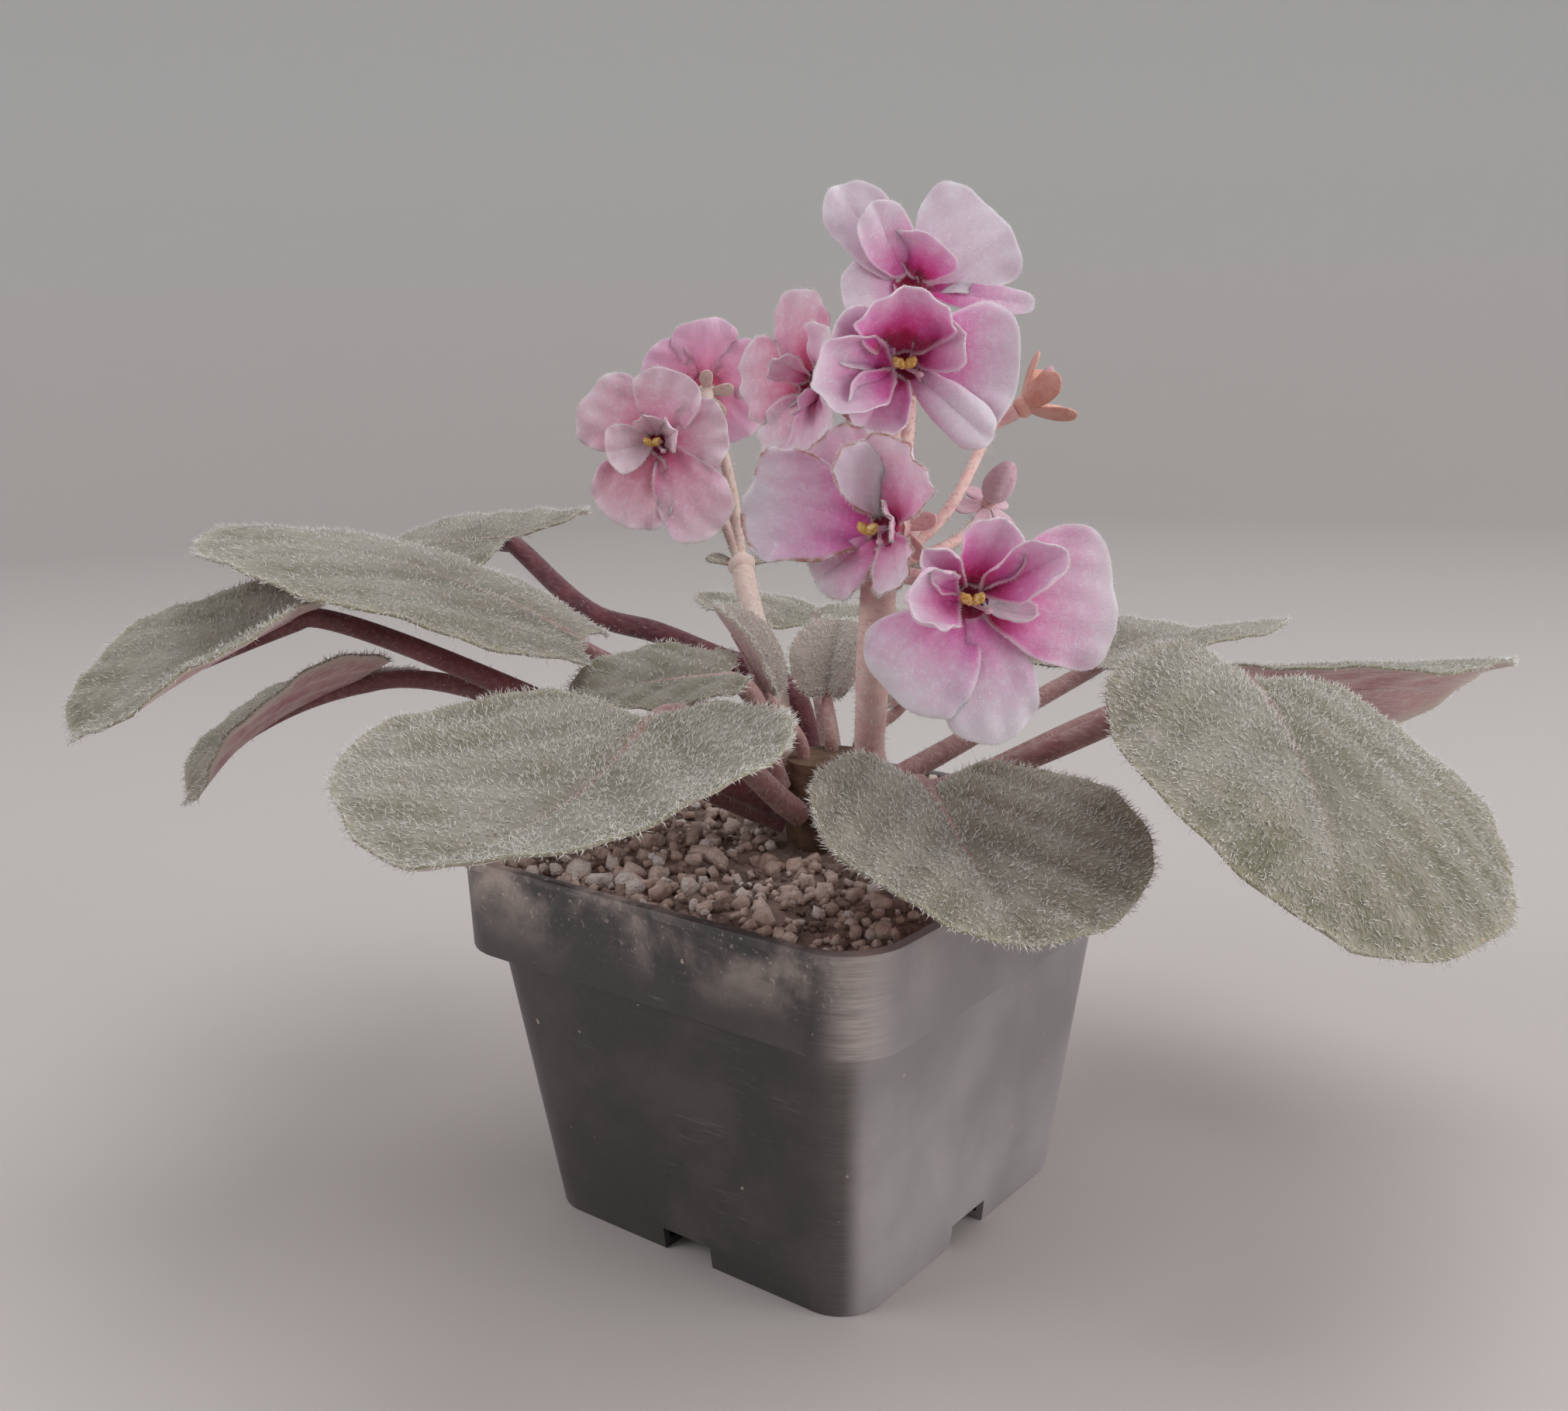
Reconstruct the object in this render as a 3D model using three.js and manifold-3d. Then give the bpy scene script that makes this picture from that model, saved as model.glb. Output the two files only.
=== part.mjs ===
// A potted African violet: a square nursery pot filled with soil, a short crown with a rosette of hairy
// heart-shaped leaves, and two branched flower stalks with double pink blooms.
// Millimetres, +Z up. The origin is the middle of the pot's flat base, and the pot's sides face X and Y.

import * as THREE from "three";
import { mergeVertices } from "three/addons/utils/BufferGeometryUtils.js";
import Module from "manifold-3d";

const wasm = await Module();
wasm.setup();

// Driving dimensions

const GAP = 0.3; // left between two pieces that touch

const POT = {
  rimWidth: 78,
  rimCorner: 9,
  bodyCorner: 8,
  baseWidth: 58.6,
  baseCorner: 6.5,
  height: 58,
  bandHeight: 16.2,
  bandTaper: 0.6,
  stepInset: 4.5,
  stepRise: 1.6,
  lip: 0.7,
  lipHeight: 1.4,
  wall: 1,
  floor: 1.2,
  drainWidth: 9,
  drainHeight: 3.6,
};

const SOIL = {
  top: 56,
  swell: 0.7,
  grains: 36,
  grainSize: [1, 2.2],
  grainStretch: 1.4,
  grainLift: 0.2,
  clearOfWall: 0.6,
  clearOfCrown: 11,
};

const CROWN = {
  at: [3.5, 2.5],
  radius: 7,
  topRadius: 6.4,
  rootRadius: 5.2,
  bottom: 43,
  shoulder: 67,
  top: 69.5,
};

const LEAF = {
  thickness: 0.9,
  stalkAtCrown: 1.9,
  stalkAtBlade: 1.4,
  veinEnd: 0.55,
  wave: 0.45,
  waves: 7,
  rings: [0.42, 0.76, 1],
  spokes: 20,
  gather: 0.3,
  stalkSides: 5,
};

// The midrib under a blade: how far along it is raised, where the stem has its steps, and how deep it sits
const VEIN = { reach: 0.44, steps: [0.13, 0.28, 0.44], depth: 0.75 };

// Each leaf: the notch where its stalk meets the blade, where the blade points and how it is tilted, in
// degrees, its length and half widths, how far the lobes reach back, how much it bends down along its
// length, and for its left and right half the fold from the midrib and the further arch. root is the
// azimuth, height and rise of its stalk at the crown, soar how far it keeps to that rise, bow how softly it
// runs into the blade, and via the points that a bent stalk goes through instead.
const LEAVES = [
  {
    name: "leaf_front_left",
    base: [0.5, -33.5, 82.5],
    heading: -72, rise: -19, roll: 15,
    length: 51, lobe: 4.3, point: 3, droop: -29, twist: 0,
    left: { width: 29, fold: -8, arch: -21 },
    right: { width: 29, fold: 25, arch: -4 },
    root: { azimuth: -92, height: 63, rise: 35 }, bow: 0.35,
  },
  {
    name: "leaf_front",
    base: [29, -9.5, 72],
    heading: -38, rise: -19, roll: -12,
    length: 36.5, lobe: 5.6, point: -0.5, droop: -4, twist: 0,
    left: { width: 23.5, fold: 12, arch: -14 },
    right: { width: 22, fold: 12, arch: 9 },
    root: { azimuth: -20, height: 60, rise: 25 }, bow: 0.3,
  },
  {
    name: "leaf_right",
    base: [59.5, 24, 84.5],
    heading: -41, rise: -18, roll: -34,
    length: 46.5, lobe: 5, point: 2, droop: 28, twist: -3,
    left: { width: 34, fold: 22, arch: 20 },
    right: { width: 28, fold: -5, arch: 31 },
    root: { azimuth: 12, height: 63, rise: 12 }, bow: 0.12,
  },
  {
    name: "leaf_left",
    base: [-29, -16, 87],
    heading: -143, rise: 33, roll: 6.5,
    length: 56, lobe: 5.5, point: 3, droop: 32, twist: -2,
    left: { width: 31, fold: -4, arch: 6 },
    right: { width: 31, fold: 12, arch: 31 },
    root: { azimuth: -160, height: 66, rise: 55 }, bow: 0.3,
  },
  {
    name: "leaf_far_left",
    base: [-49, -51.5, 95],
    heading: -122, rise: -21, roll: -2,
    length: 34.5, lobe: 6, point: 0, droop: 7, twist: -10,
    left: { width: 19.5, fold: 11, arch: -6 },
    right: { width: 20, fold: 8, arch: -2 },
    root: { azimuth: -130, height: 62.5, rise: 25 }, bow: 0.08, soar: 0.15,
  },
  {
    name: "leaf_low_left",
    base: [-55.5, -35, 82],
    heading: -140, rise: -12, roll: 12,
    length: 34.5, lobe: 8, point: 0, droop: 39, twist: -32,
    left: { width: 20, fold: 8, arch: -5 },
    right: { width: 20, fold: 2, arch: 1 },
    root: { azimuth: -150, height: 59.5, rise: 20 }, bow: 0.25,
  },
  {
    name: "leaf_back_left",
    base: [-71, 10, 96.5],
    heading: 173, rise: -4, roll: -14,
    length: 43, lobe: 7.9, point: 0.5, droop: 4, twist: 0,
    left: { width: 25, fold: 2, arch: 21 },
    right: { width: 25, fold: 10, arch: 38 },
    root: { azimuth: 146, height: 64.5, rise: 45 }, bow: 0.1,
    via: [
      [-11.5, 13.6, 74.2],
      [-18.5, 14.7, 77.3],
      [-26.1, 12.3, 79.6],
      [-37.5, 10.2, 83],
      [-50, 8, 85.3],
    ],
  },
  {
    name: "leaf_inner_left",
    base: [-5, -11, 83.6],
    heading: -128, rise: 1, roll: -16,
    length: 22.5, lobe: 4, point: 0.5, droop: 10, twist: 0,
    left: { width: 9.5, fold: 12, arch: 14 },
    right: { width: 8.5, fold: 12, arch: 8 },
    root: { azimuth: -115, height: 67, rise: 68 }, bow: 0.35,
  },
  {
    name: "leaf_back_right",
    base: [43, 51.5, 76],
    heading: 48, rise: -5, roll: -25,
    length: 46.5, lobe: 7.7, point: 0, droop: -6, twist: 0,
    left: { width: 27, fold: -7, arch: 21 },
    right: { width: 27.5, fold: 5, arch: 27 },
    root: { azimuth: 46, height: 60, rise: 12 }, bow: 0.3,
  },
  {
    name: "leaf_back",
    base: [18.5, 54.5, 75.5],
    heading: 83, rise: 9, roll: -1,
    length: 42, lobe: 8, point: 0, droop: 20, twist: 0,
    left: { width: 24, fold: 13, arch: 29 },
    right: { width: 24, fold: 15, arch: 9 },
    root: { azimuth: 78, height: 62, rise: 12 }, bow: 0.3,
  },
  {
    name: "leaf_back_far",
    base: [-31, 45, 79],
    heading: 124, rise: 6, roll: 3,
    length: 40, lobe: 6.5, point: 0.5, droop: 26, twist: 4,
    left: { width: 23, fold: 10, arch: 16 },
    right: { width: 23, fold: 9, arch: 20 },
    root: { azimuth: 124, height: 61, rise: 20 }, bow: 0.3,
  },
];

// The young leaves at the heart of the rosette. Their stalks stand on the crown's top, at foot.
const YOUNG_LEAVES = [
  {
    name: "leaf_young_back", foot: [1.6, 5.6],
    base: [-2, 9.5, 77], heading: 112, rise: 58, roll: 0,
    length: 12.5, lobe: 1.8, point: 1, droop: 22, twist: 0,
    left: { width: 6.8, fold: 32, arch: 6 }, right: { width: 6.8, fold: 32, arch: 6 }, bow: 0.3,
  },
  {
    name: "leaf_young_left", foot: [0.4, 0],
    base: [-4.5, -2, 79.5], heading: -162, rise: 66, roll: 8,
    length: 14, lobe: 1.8, point: 1, droop: 18, twist: 0,
    left: { width: 6.5, fold: 30, arch: 6 }, right: { width: 6.5, fold: 34, arch: 6 }, bow: 0.3,
  },
  {
    name: "leaf_young_right", foot: [7, 5],
    base: [11, 9.5, 77], heading: 34, rise: 52, roll: 0,
    length: 12, lobe: 1.6, point: 1, droop: 18, twist: 0,
    left: { width: 5.5, fold: 34, arch: 4 }, right: { width: 5.5, fold: 34, arch: 4 }, bow: 0.3,
  },
];
const YOUNG = {
  thickness: 0.8,
  stalkAtCrown: 1.05,
  stalkAtBlade: 0.85,
  veinEnd: 0.5,
  wave: 0.15,
  waves: 5,
  rings: [0.55, 1],
  spokes: 12,
  gather: 0.3,
  stalkSides: 5,
};

const PETAL = {
  thickness: 0.62,
  neck: 1.7,
  ruffle: 0.45,
  ruffles: 4,
  middle: 0.56,
  shoulder: 0.3,
  rings: [0.55, 1],
  spokes: 8,
};
const THROAT = 2.3; // radius of the short tube that the petals grow from
const TUBE_IN_CALYX = { straight: 3, calyx: 0.7 }; // how a branch runs into what it carries
const ANTHER = { radius: 1.15, apart: 0.75 };
const SEPAL = {
  length: 4.4,
  width: 1.15,
  neck: 0.6,
  spread: 112,
  count: 5,
  thickness: 0.62,
  rings: [1],
  spokes: 4,
};

// Each bloom: its throat, where it faces, and its petals. A petal has its turn round the face, seen from
// the front and counter-clockwise from the right, its opening from the face's axis, length, half width, how
// much it bends back along its length, the fold and arch of both halves, and its roll.
const BLOOMS = [
  {
    name: "bloom_low_right", throat: [41.2, -19.4, 99.8], heading: -52, rise: 13, anthers: true,
    petals: [
      { turn: 232, open: 80, length: 13.5, width: 7.4, droop: 22, fold: 6, arch: 10 },
      { turn: 281, open: 86, length: 16, width: 6, droop: 12, fold: -4, arch: -8 },
      { turn: 0, open: 84, length: 16.5, width: 8.6, droop: 16, fold: 6, arch: 8 },
      { turn: 28, open: 58, length: 11.5, width: 3.4, droop: 24, fold: 30, arch: 60 },
      { turn: 176, open: 52, length: 8.6, width: 6.2, droop: -30, fold: 34, arch: 20 },
      { turn: 118, open: 48, length: 6.4, width: 2.8, droop: 30, fold: 30, arch: 50 },
      { turn: 62, open: 76, length: 8, width: 4.6, droop: -10, fold: 14, arch: 20 },
    ],
  },
  {
    name: "bloom_low_left", throat: [29.3, -20, 108], heading: -94, rise: 5, anthers: true,
    petals: [
      { turn: 160, open: 62, length: 17.5, width: 8.6, droop: 12, fold: 12, arch: 12 },
      { turn: 84, open: 52, length: 12.5, width: 5.6, droop: -8, fold: 8, arch: 10, roll: 38 },
      { turn: 40, open: 60, length: 9.5, width: 5.8, droop: -8, fold: 10, arch: 14 },
      { turn: 218, open: 66, length: 9.5, width: 4.4, droop: 24, fold: 20, arch: 24 },
      { turn: 300, open: 58, length: 8, width: 4.4, droop: 10, fold: 18, arch: 20 },
    ],
  },
  {
    name: "bloom_middle", throat: [26.6, -11.9, 127.8], heading: -52, rise: 4, anthers: true,
    petals: [
      { turn: 92, open: 50, length: 11, width: 6.6, droop: 2, fold: 14, arch: 26 },
      { turn: 178, open: 56, length: 11.8, width: 7, droop: 4, fold: 20, arch: 24 },
      { turn: 318, open: 56, length: 13, width: 4.8, droop: 22, fold: 16, arch: 20 },
      { turn: 356, open: 70, length: 13.2, width: 8, droop: 12, fold: 10, arch: 12 },
      { turn: 146, open: 38, length: 8.4, width: 3, droop: 12, fold: 26, arch: 40 },
      { turn: 52, open: 36, length: 7.4, width: 2.8, droop: 14, fold: 26, arch: 44 },
      { turn: 246, open: 66, length: 9.5, width: 5, droop: 10, fold: 14, arch: 16 },
    ],
  },
  {
    name: "bloom_top", throat: [22, -3.5, 137.2], heading: -52, rise: 20, anthers: false,
    petals: [
      { turn: 127, open: 72, length: 14.5, width: 4.6, droop: 8, fold: 10, arch: 14 },
      { turn: 118, open: 52, length: 10.5, width: 3.6, droop: 10, fold: 18, arch: 20 },
      { turn: 33, open: 78, length: 13.4, width: 7.2, droop: 10, fold: 6, arch: 12 },
      { turn: 347, open: 76, length: 15, width: 2.6, droop: 10, fold: 16, arch: 14 },
      { turn: 190, open: 80, length: 8.5, width: 4.8, droop: 14, fold: 8, arch: 10 },
    ],
  },
  {
    name: "bloom_side", throat: [9.5, -8, 124.5], heading: -104, rise: 2, anthers: false,
    petals: [
      { turn: 100, open: 80, length: 11.5, width: 5.8, droop: 14, fold: 10, arch: 12 },
      { turn: 174, open: 80, length: 13, width: 6, droop: 12, fold: 8, arch: 12 },
      { turn: 240, open: 76, length: 11, width: 5.6, droop: 16, fold: 10, arch: 14 },
      { turn: 300, open: 62, length: 10.5, width: 6, droop: 8, fold: 16, arch: 16 },
      { turn: 30, open: 62, length: 10, width: 5.4, droop: 14, fold: 14, arch: 14 },
    ],
  },
  {
    name: "bloom_left", throat: [-42.2, 17.5, 113.9], heading: -66, rise: 4, anthers: true,
    petals: [
      { turn: 150, open: 78, length: 13, width: 6.8, droop: 16, fold: 6, arch: 10 },
      { turn: 244, open: 76, length: 13.5, width: 7.4, droop: 14, fold: 8, arch: 10 },
      { turn: 304, open: 74, length: 17, width: 6.4, droop: 20, fold: 10, arch: 12 },
      { turn: 8, open: 78, length: 11, width: 6, droop: 12, fold: 8, arch: 10 },
      { turn: 72, open: 70, length: 11, width: 6, droop: 10, fold: 10, arch: 12 },
      { turn: 192, open: 46, length: 8, width: 4, droop: 16, fold: 20, arch: 26 },
    ],
  },
  {
    name: "bloom_left_back", throat: [-44.3, 32.8, 122.4], heading: 130, rise: 22, anthers: true,
    petals: [
      { turn: 90, open: 72, length: 10, width: 5.6, droop: 14, fold: 8, arch: 12 },
      { turn: 162, open: 74, length: 10, width: 5.6, droop: 14, fold: 8, arch: 12 },
      { turn: 234, open: 78, length: 11, width: 6, droop: 14, fold: 8, arch: 12 },
      { turn: 306, open: 78, length: 11, width: 6, droop: 14, fold: 8, arch: 12 },
      { turn: 18, open: 74, length: 10, width: 5.6, droop: 14, fold: 8, arch: 12 },
    ],
  },
];

// The two flower stalks, which come out of the crown between the leaf stalks. Each branch runs from the
// fork at the stalk's end to its bloom, bud or spent calyx.
const STALKS = [
  {
    name: "flower_stalk_front",
    root: { azimuth: -16, height: 66.5, rise: 40 },
    run: [
      [14.4, -2.6, 74],
      [18.3, -7.7, 80.5],
      [22.4, -13.2, 87.5],
      [25.6, -16.9, 95],
      [26.7, -17.5, 101.7],
    ],
    radius: [2.1, 2.35],
    branches: [
      { to: "bloom_low_right", via: [[33.5, -17.5, 101.5]], radius: 1.1 },
      { to: "bloom_low_left", via: [[28.2, -15.6, 104.6]], radius: 1.1 },
      { to: "bloom_middle", via: [[25.6, -12.2, 109.5], [22.6, -8.8, 117.5]], radius: 1.35 },
      { to: "bloom_top", via: [[24, -8.5, 112], [18.4, 2, 124]], radius: 1 },
      { to: "bloom_side", via: [[24, -11.5, 109], [13, -3, 118]], radius: 1 },
      { to: "spent_calyx", via: [[31, -9, 108.5], [30.5, 1, 116.5]], radius: 0.75 },
      { to: "bud", via: [[31.5, -10, 104.5]], radius: 0.75 },
    ],
  },
  {
    name: "flower_stalk_back",
    root: { azimuth: 176, height: 66.5, rise: 60 },
    run: [[-9, 6.2, 75], [-15.6, 11.8, 80.6], [-22.6, 17, 87], [-28.6, 22, 93.4]],
    radius: [1.7, 1.9],
    branches: [
      { to: "bloom_left", via: [[-35, 23.5, 103]], radius: 1 },
      { to: "bloom_left_back", via: [[-33, 25.5, 104], [-37.5, 28, 113]], radius: 1 },
    ],
  },
];
const FORK = {
  swell: 1.25,
  heading: -52,
  rise: 75,
  bractTurns: [165, 375],
  bract: { open: 70, length: 5, width: 1.9, droop: 20, fold: 10, arch: 10 },
};

const SPENT = {
  name: "spent_calyx",
  at: [32.3, 8.9, 121.4],
  heading: 40,
  rise: 30,
  pod: 1.5,
  spread: 50,
  sepal: { length: 7.2, width: 1.9 },
};
const BUD = {
  name: "bud",
  at: [29.6, 7.6, 111.3],
  heading: -20,
  rise: 50,
  radius: 2.1,
  waist: 0.18,
  length: 3.6,
};

// Colours, roughness and metalness

const FINISH = {
  pot: { color: 0x2b2b2d, roughness: 0.5, metalness: 0 },
  soil: { color: 0x3a2c22, roughness: 1, metalness: 0 },
  crown: { color: 0x7a6a4c, roughness: 0.9, metalness: 0 },
  leaf: { color: 0x8f9a7c, roughness: 0.95, metalness: 0 },
  stalk: { color: 0xb58a76, roughness: 0.85, metalness: 0 },
  bloom: { color: 0xd897bd, roughness: 0.7, metalness: 0 },
  anthers: { color: 0xd9a42c, roughness: 0.6, metalness: 0 },
  spent: { color: 0xb9795c, roughness: 0.85, metalness: 0 },
};

// Joining and cutting

function solid(geometry) {
  const bare = geometry.clone();
  for (const name of Object.keys(bare.attributes)) {
    if (name !== "position") bare.deleteAttribute(name);
  }
  const merged = mergeVertices(bare, 1e-4);
  return new wasm.Manifold(
    new wasm.Mesh({
      numProp: 3,
      vertProperties: merged.attributes.position.array,
      triVerts: new Uint32Array(merged.index.array),
    }),
  );
}

function geometryOf(body) {
  const mesh = body.getMesh();
  const geometry = new THREE.BufferGeometry();
  geometry.setAttribute("position", new THREE.BufferAttribute(mesh.vertProperties, 3));
  geometry.setIndex(new THREE.BufferAttribute(mesh.triVerts, 1));
  geometry.computeVertexNormals();
  return geometry;
}

// The pieces as one body, without any loose scrap.
function join(geometries) {
  const joined = geometries.map(solid).reduce((sum, body) => sum.add(body));
  return joined.decompose().sort((a, b) => b.volume() - a.volume())[0];
}

// Closed surfaces

const rad = THREE.MathUtils.degToRad;
const vec = (p) => new THREE.Vector3(...p);

function bodyOf(points, faces) {
  const geometry = new THREE.BufferGeometry().setFromPoints(points);
  geometry.setIndex(faces.flat());
  return geometry;
}

// A closed body through loops of equally many points, each counter-clockwise seen from the end.
function loft(loops) {
  const count = loops[0].length;
  const points = loops.flat();
  const faces = [];
  for (let k = 0; k + 1 < loops.length; k++) {
    for (let i = 0; i < count; i++) {
      const j = (i + 1) % count;
      const [a, b] = [k * count + i, k * count + j];
      faces.push([a, b, b + count], [a, b + count, a + count]);
    }
  }
  const middle = (loop) => loop.reduce((sum, p) => sum.add(p), new THREE.Vector3()).divideScalar(count);
  points.push(middle(loops[0]), middle(loops[loops.length - 1]));
  const [start, end, last] = [points.length - 2, points.length - 1, (loops.length - 1) * count];
  for (let i = 0; i < count; i++) {
    const j = (i + 1) % count;
    faces.push([start, j, i], [end, last + i, last + j]);
  }
  return bodyOf(points, faces);
}

function roundedSquare(width, corner, z, steps = 5) {
  const reach = width / 2 - corner;
  const points = [];
  for (let k = 0; k < 4; k++) {
    const [cx, cy] = [[reach, reach], [-reach, reach], [-reach, -reach], [reach, -reach]][k];
    for (let i = 0; i <= steps; i++) {
      const a = ((k + i / steps) * Math.PI) / 2;
      points.push(new THREE.Vector3(cx + corner * Math.cos(a), cy + corner * Math.sin(a), z));
    }
  }
  return points;
}

// A round stem through the points, its radius going evenly through the radii.
function stem(points, radii, sides) {
  const tangents = points.map((p, i) =>
    points[Math.min(i + 1, points.length - 1)].clone().sub(points[Math.max(i - 1, 0)]).normalize(),
  );
  let side = new THREE.Vector3(0.31, 0.9, 0.12);
  const round = (centre, u, v, radius, a) =>
    centre.clone().addScaledVector(u, radius * Math.cos(a)).addScaledVector(v, radius * Math.sin(a));
  const loops = points.map((p, i) => {
    side = side.clone().addScaledVector(tangents[i], -side.dot(tangents[i])).normalize();
    const other = tangents[i].clone().cross(side);
    const t = (i / (points.length - 1)) * (radii.length - 1);
    const k = Math.min(Math.floor(t), radii.length - 2);
    const radius = THREE.MathUtils.lerp(radii[k], radii[k + 1], t - k);
    const turns = Array.from({ length: sides }, (_, j) => (j / sides) * 2 * Math.PI);
    return turns.map((a) => round(p, side, other, radius, a));
  });
  return loft(loops);
}

// Leaves and petals

// Where a blade points (along), its left (across) and its upper side (normal).
function tilted(along, across, roll) {
  const normal = along.clone().cross(across);
  const c = Math.cos(rad(roll));
  const s = Math.sin(rad(roll));
  const rolled = across.clone().multiplyScalar(c).addScaledVector(normal, s);
  return { along, across: rolled, normal: along.clone().cross(rolled) };
}

function heading(azimuth, rise) {
  const a = rad(azimuth);
  const e = rad(rise);
  return new THREE.Vector3(Math.cos(a) * Math.cos(e), Math.sin(a) * Math.cos(e), Math.sin(e));
}

const awayFromZero = (value) => (Math.abs(value) < 1e-4 ? 1e-4 : value);

// The point of a blade's middle surface x along the midrib and y to the left of it: bent down along its
// length, folded and arched on each half, and twisted.
function bend(form, x, y) {
  const k = awayFromZero(rad(form.droop)) / form.length;
  const run = Math.max(x, 0);
  const turn = -k * run;
  const half = y >= 0 ? form.left : form.right;
  const fold = rad(half.fold);
  const curl = awayFromZero(rad(half.arch)) / half.width;
  const end = fold - curl * Math.abs(y);
  const out = (Math.sign(y) * (Math.sin(fold) - Math.sin(end))) / curl;
  const lift = (Math.cos(end) - Math.cos(fold)) / curl;
  const tau = (rad(form.twist) * x) / form.length;
  const s = out * Math.cos(tau) - lift * Math.sin(tau);
  const n = out * Math.sin(tau) + lift * Math.cos(tau);
  return form.start
    .clone()
    .addScaledVector(form.along, Math.sin(k * run) / k + Math.min(x, 0) - n * Math.sin(turn))
    .addScaledVector(form.across, s)
    .addScaledVector(form.normal, -(1 - Math.cos(k * run)) / k + n * Math.cos(turn));
}

function normalAt(form, x, y) {
  const e = 0.02;
  const dx = bend(form, x + e, y).sub(bend(form, x - e, y));
  const dy = bend(form, x, y + e).sub(bend(form, x, y - e));
  return dx.cross(dy).normalize();
}

// A thin closed blade over an outline: rings of spokes round a middle point, alike on both faces.
function blade(form, outline, lift, { rings, spokes, thickness, gather = 0 }) {
  const upper = [];
  const lower = [];
  const add = (ring, phi) => {
    const [x, y] = outline(ring, phi);
    const middle = bend(form, x, y);
    const normal = normalAt(form, x, y);
    const rise = lift(ring, phi);
    upper.push(middle.clone().addScaledVector(normal, rise + thickness / 2));
    lower.push(middle.clone().addScaledVector(normal, rise - thickness / 2));
  };
  add(0, 0);
  for (const ring of rings) {
    for (let j = 0; j < spokes; j++) {
      const even = (j / spokes) * 2 * Math.PI;
      add(ring, even + gather * Math.sin(even)); // closer together towards the base
    }
  }
  const count = upper.length;
  const faces = [];
  const both = (a, b, c) => faces.push([a, b, c], [count + a, count + c, count + b]);
  for (let j = 0; j < spokes; j++) {
    const i = (j + 1) % spokes;
    both(0, 1 + j, 1 + i);
    for (let k = 1; k < rings.length; k++) {
      const [inner, outer] = [1 + (k - 1) * spokes, 1 + k * spokes];
      both(inner + j, outer + j, outer + i);
      both(inner + j, outer + i, inner + i);
    }
    const edge = 1 + (rings.length - 1) * spokes;
    faces.push([count + edge + j, count + edge + i, edge + i], [count + edge + j, edge + i, edge + j]);
  }
  return bodyOf([...upper, ...lower], faces);
}

// A heart shape: two lobes that reach back past the notch at the stalk, and a blunt point.
function heartOutline(leaf) {
  const middle = 0.4 * leaf.length;
  return (ring, phi) => {
    const [a, b] = [Math.cos(phi), Math.sin(phi)];
    const reach = a >= 0 ? leaf.length - middle : middle + leaf.lobe;
    const width = b >= 0 ? leaf.left.width : leaf.right.width;
    const fromBase = Math.PI - Math.abs(Math.atan2(b, a));
    const notch = Math.exp(-((fromBase / 0.3) ** 2));
    const x = middle + reach * a + leaf.point * Math.max(a, 0) ** 8 + leaf.lobe * notch;
    const y = width * b * (1 + 0.06 * a);
    return [middle + ring * (x - middle), ring * y];
  };
}

function leafForm(leaf) {
  const along = heading(leaf.heading, leaf.rise);
  const across = new THREE.Vector3(-Math.sin(rad(leaf.heading)), Math.cos(rad(leaf.heading)), 0);
  return { ...leaf, ...tilted(along, across, leaf.roll), start: vec(leaf.base) };
}

// The stalk from its foot, and on as the raised midrib under the blade.
function leafStalk(form, foot, out, sizes) {
  const seat = form.start.clone().addScaledVector(form.normal, -0.8 * sizes.stalkAtBlade);
  const span = foot.distanceTo(seat);
  const soar = form.soar ?? 0.35;
  const first = foot.clone().addScaledVector(out, soar * span);
  const last = seat.clone().addScaledVector(form.along, -form.bow * span);
  const curve = form.via
    ? new THREE.CatmullRomCurve3([foot, ...form.via.map(vec), seat], false, "centripetal")
    : new THREE.CubicBezierCurve3(foot, first, last, seat);
  const steps = 6 + Math.ceil((form.via ?? []).length / 2);
  const points = curve.getPoints(steps);
  const { lerp } = THREE.MathUtils;
  const radii = points.map((_, i) => lerp(sizes.stalkAtCrown, sizes.stalkAtBlade, i / steps));
  for (const share of VEIN.steps) {
    const x = share * form.length;
    const radius = lerp(sizes.stalkAtBlade, sizes.veinEnd, share / VEIN.reach);
    points.push(bend(form, x, 0).addScaledVector(normalAt(form, x, 0), -VEIN.depth * radius));
    radii.push(radius);
  }
  return stem(points, radii, sizes.stalkSides);
}

function waved(sizes, phase) {
  return (ring, phi) => sizes.wave * ring ** 4 * Math.sin(sizes.waves * phi + phase);
}

function leafBody(leaf, foot, out, sizes, phase) {
  const form = leafForm(leaf);
  const lamina = blade(form, heartOutline(leaf), waved(sizes, phase), sizes);
  return join([lamina, leafStalk(form, foot, out, sizes)]);
}

// The foot of a stalk that comes out of the crown's side.
function sideFoot({ azimuth, height, rise }, radius) {
  const out = CROWN.radius + GAP + radius * Math.sin(rad(rise));
  return new THREE.Vector3(...CROWN.at, height).addScaledVector(heading(azimuth, 0), out);
}

function rosetteLeaf(leaf, index) {
  const foot = sideFoot(leaf.root, LEAF.stalkAtCrown);
  return leafBody(leaf, foot, heading(leaf.root.azimuth, leaf.root.rise), LEAF, index);
}

function youngLeaf(leaf, index) {
  const foot = new THREE.Vector3(...leaf.foot, CROWN.top + 2 * GAP);
  return leafBody(leaf, foot, new THREE.Vector3(0, 0, 1), YOUNG, index);
}

// The bloom's own axes: right and up as seen from the front, and out of its face.
function bloomAxes({ heading: azimuth, rise }) {
  const out = heading(azimuth, rise);
  const right = new THREE.Vector3(0, 0, 1).cross(out).normalize();
  return { out, right, up: out.clone().cross(right) };
}

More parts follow.
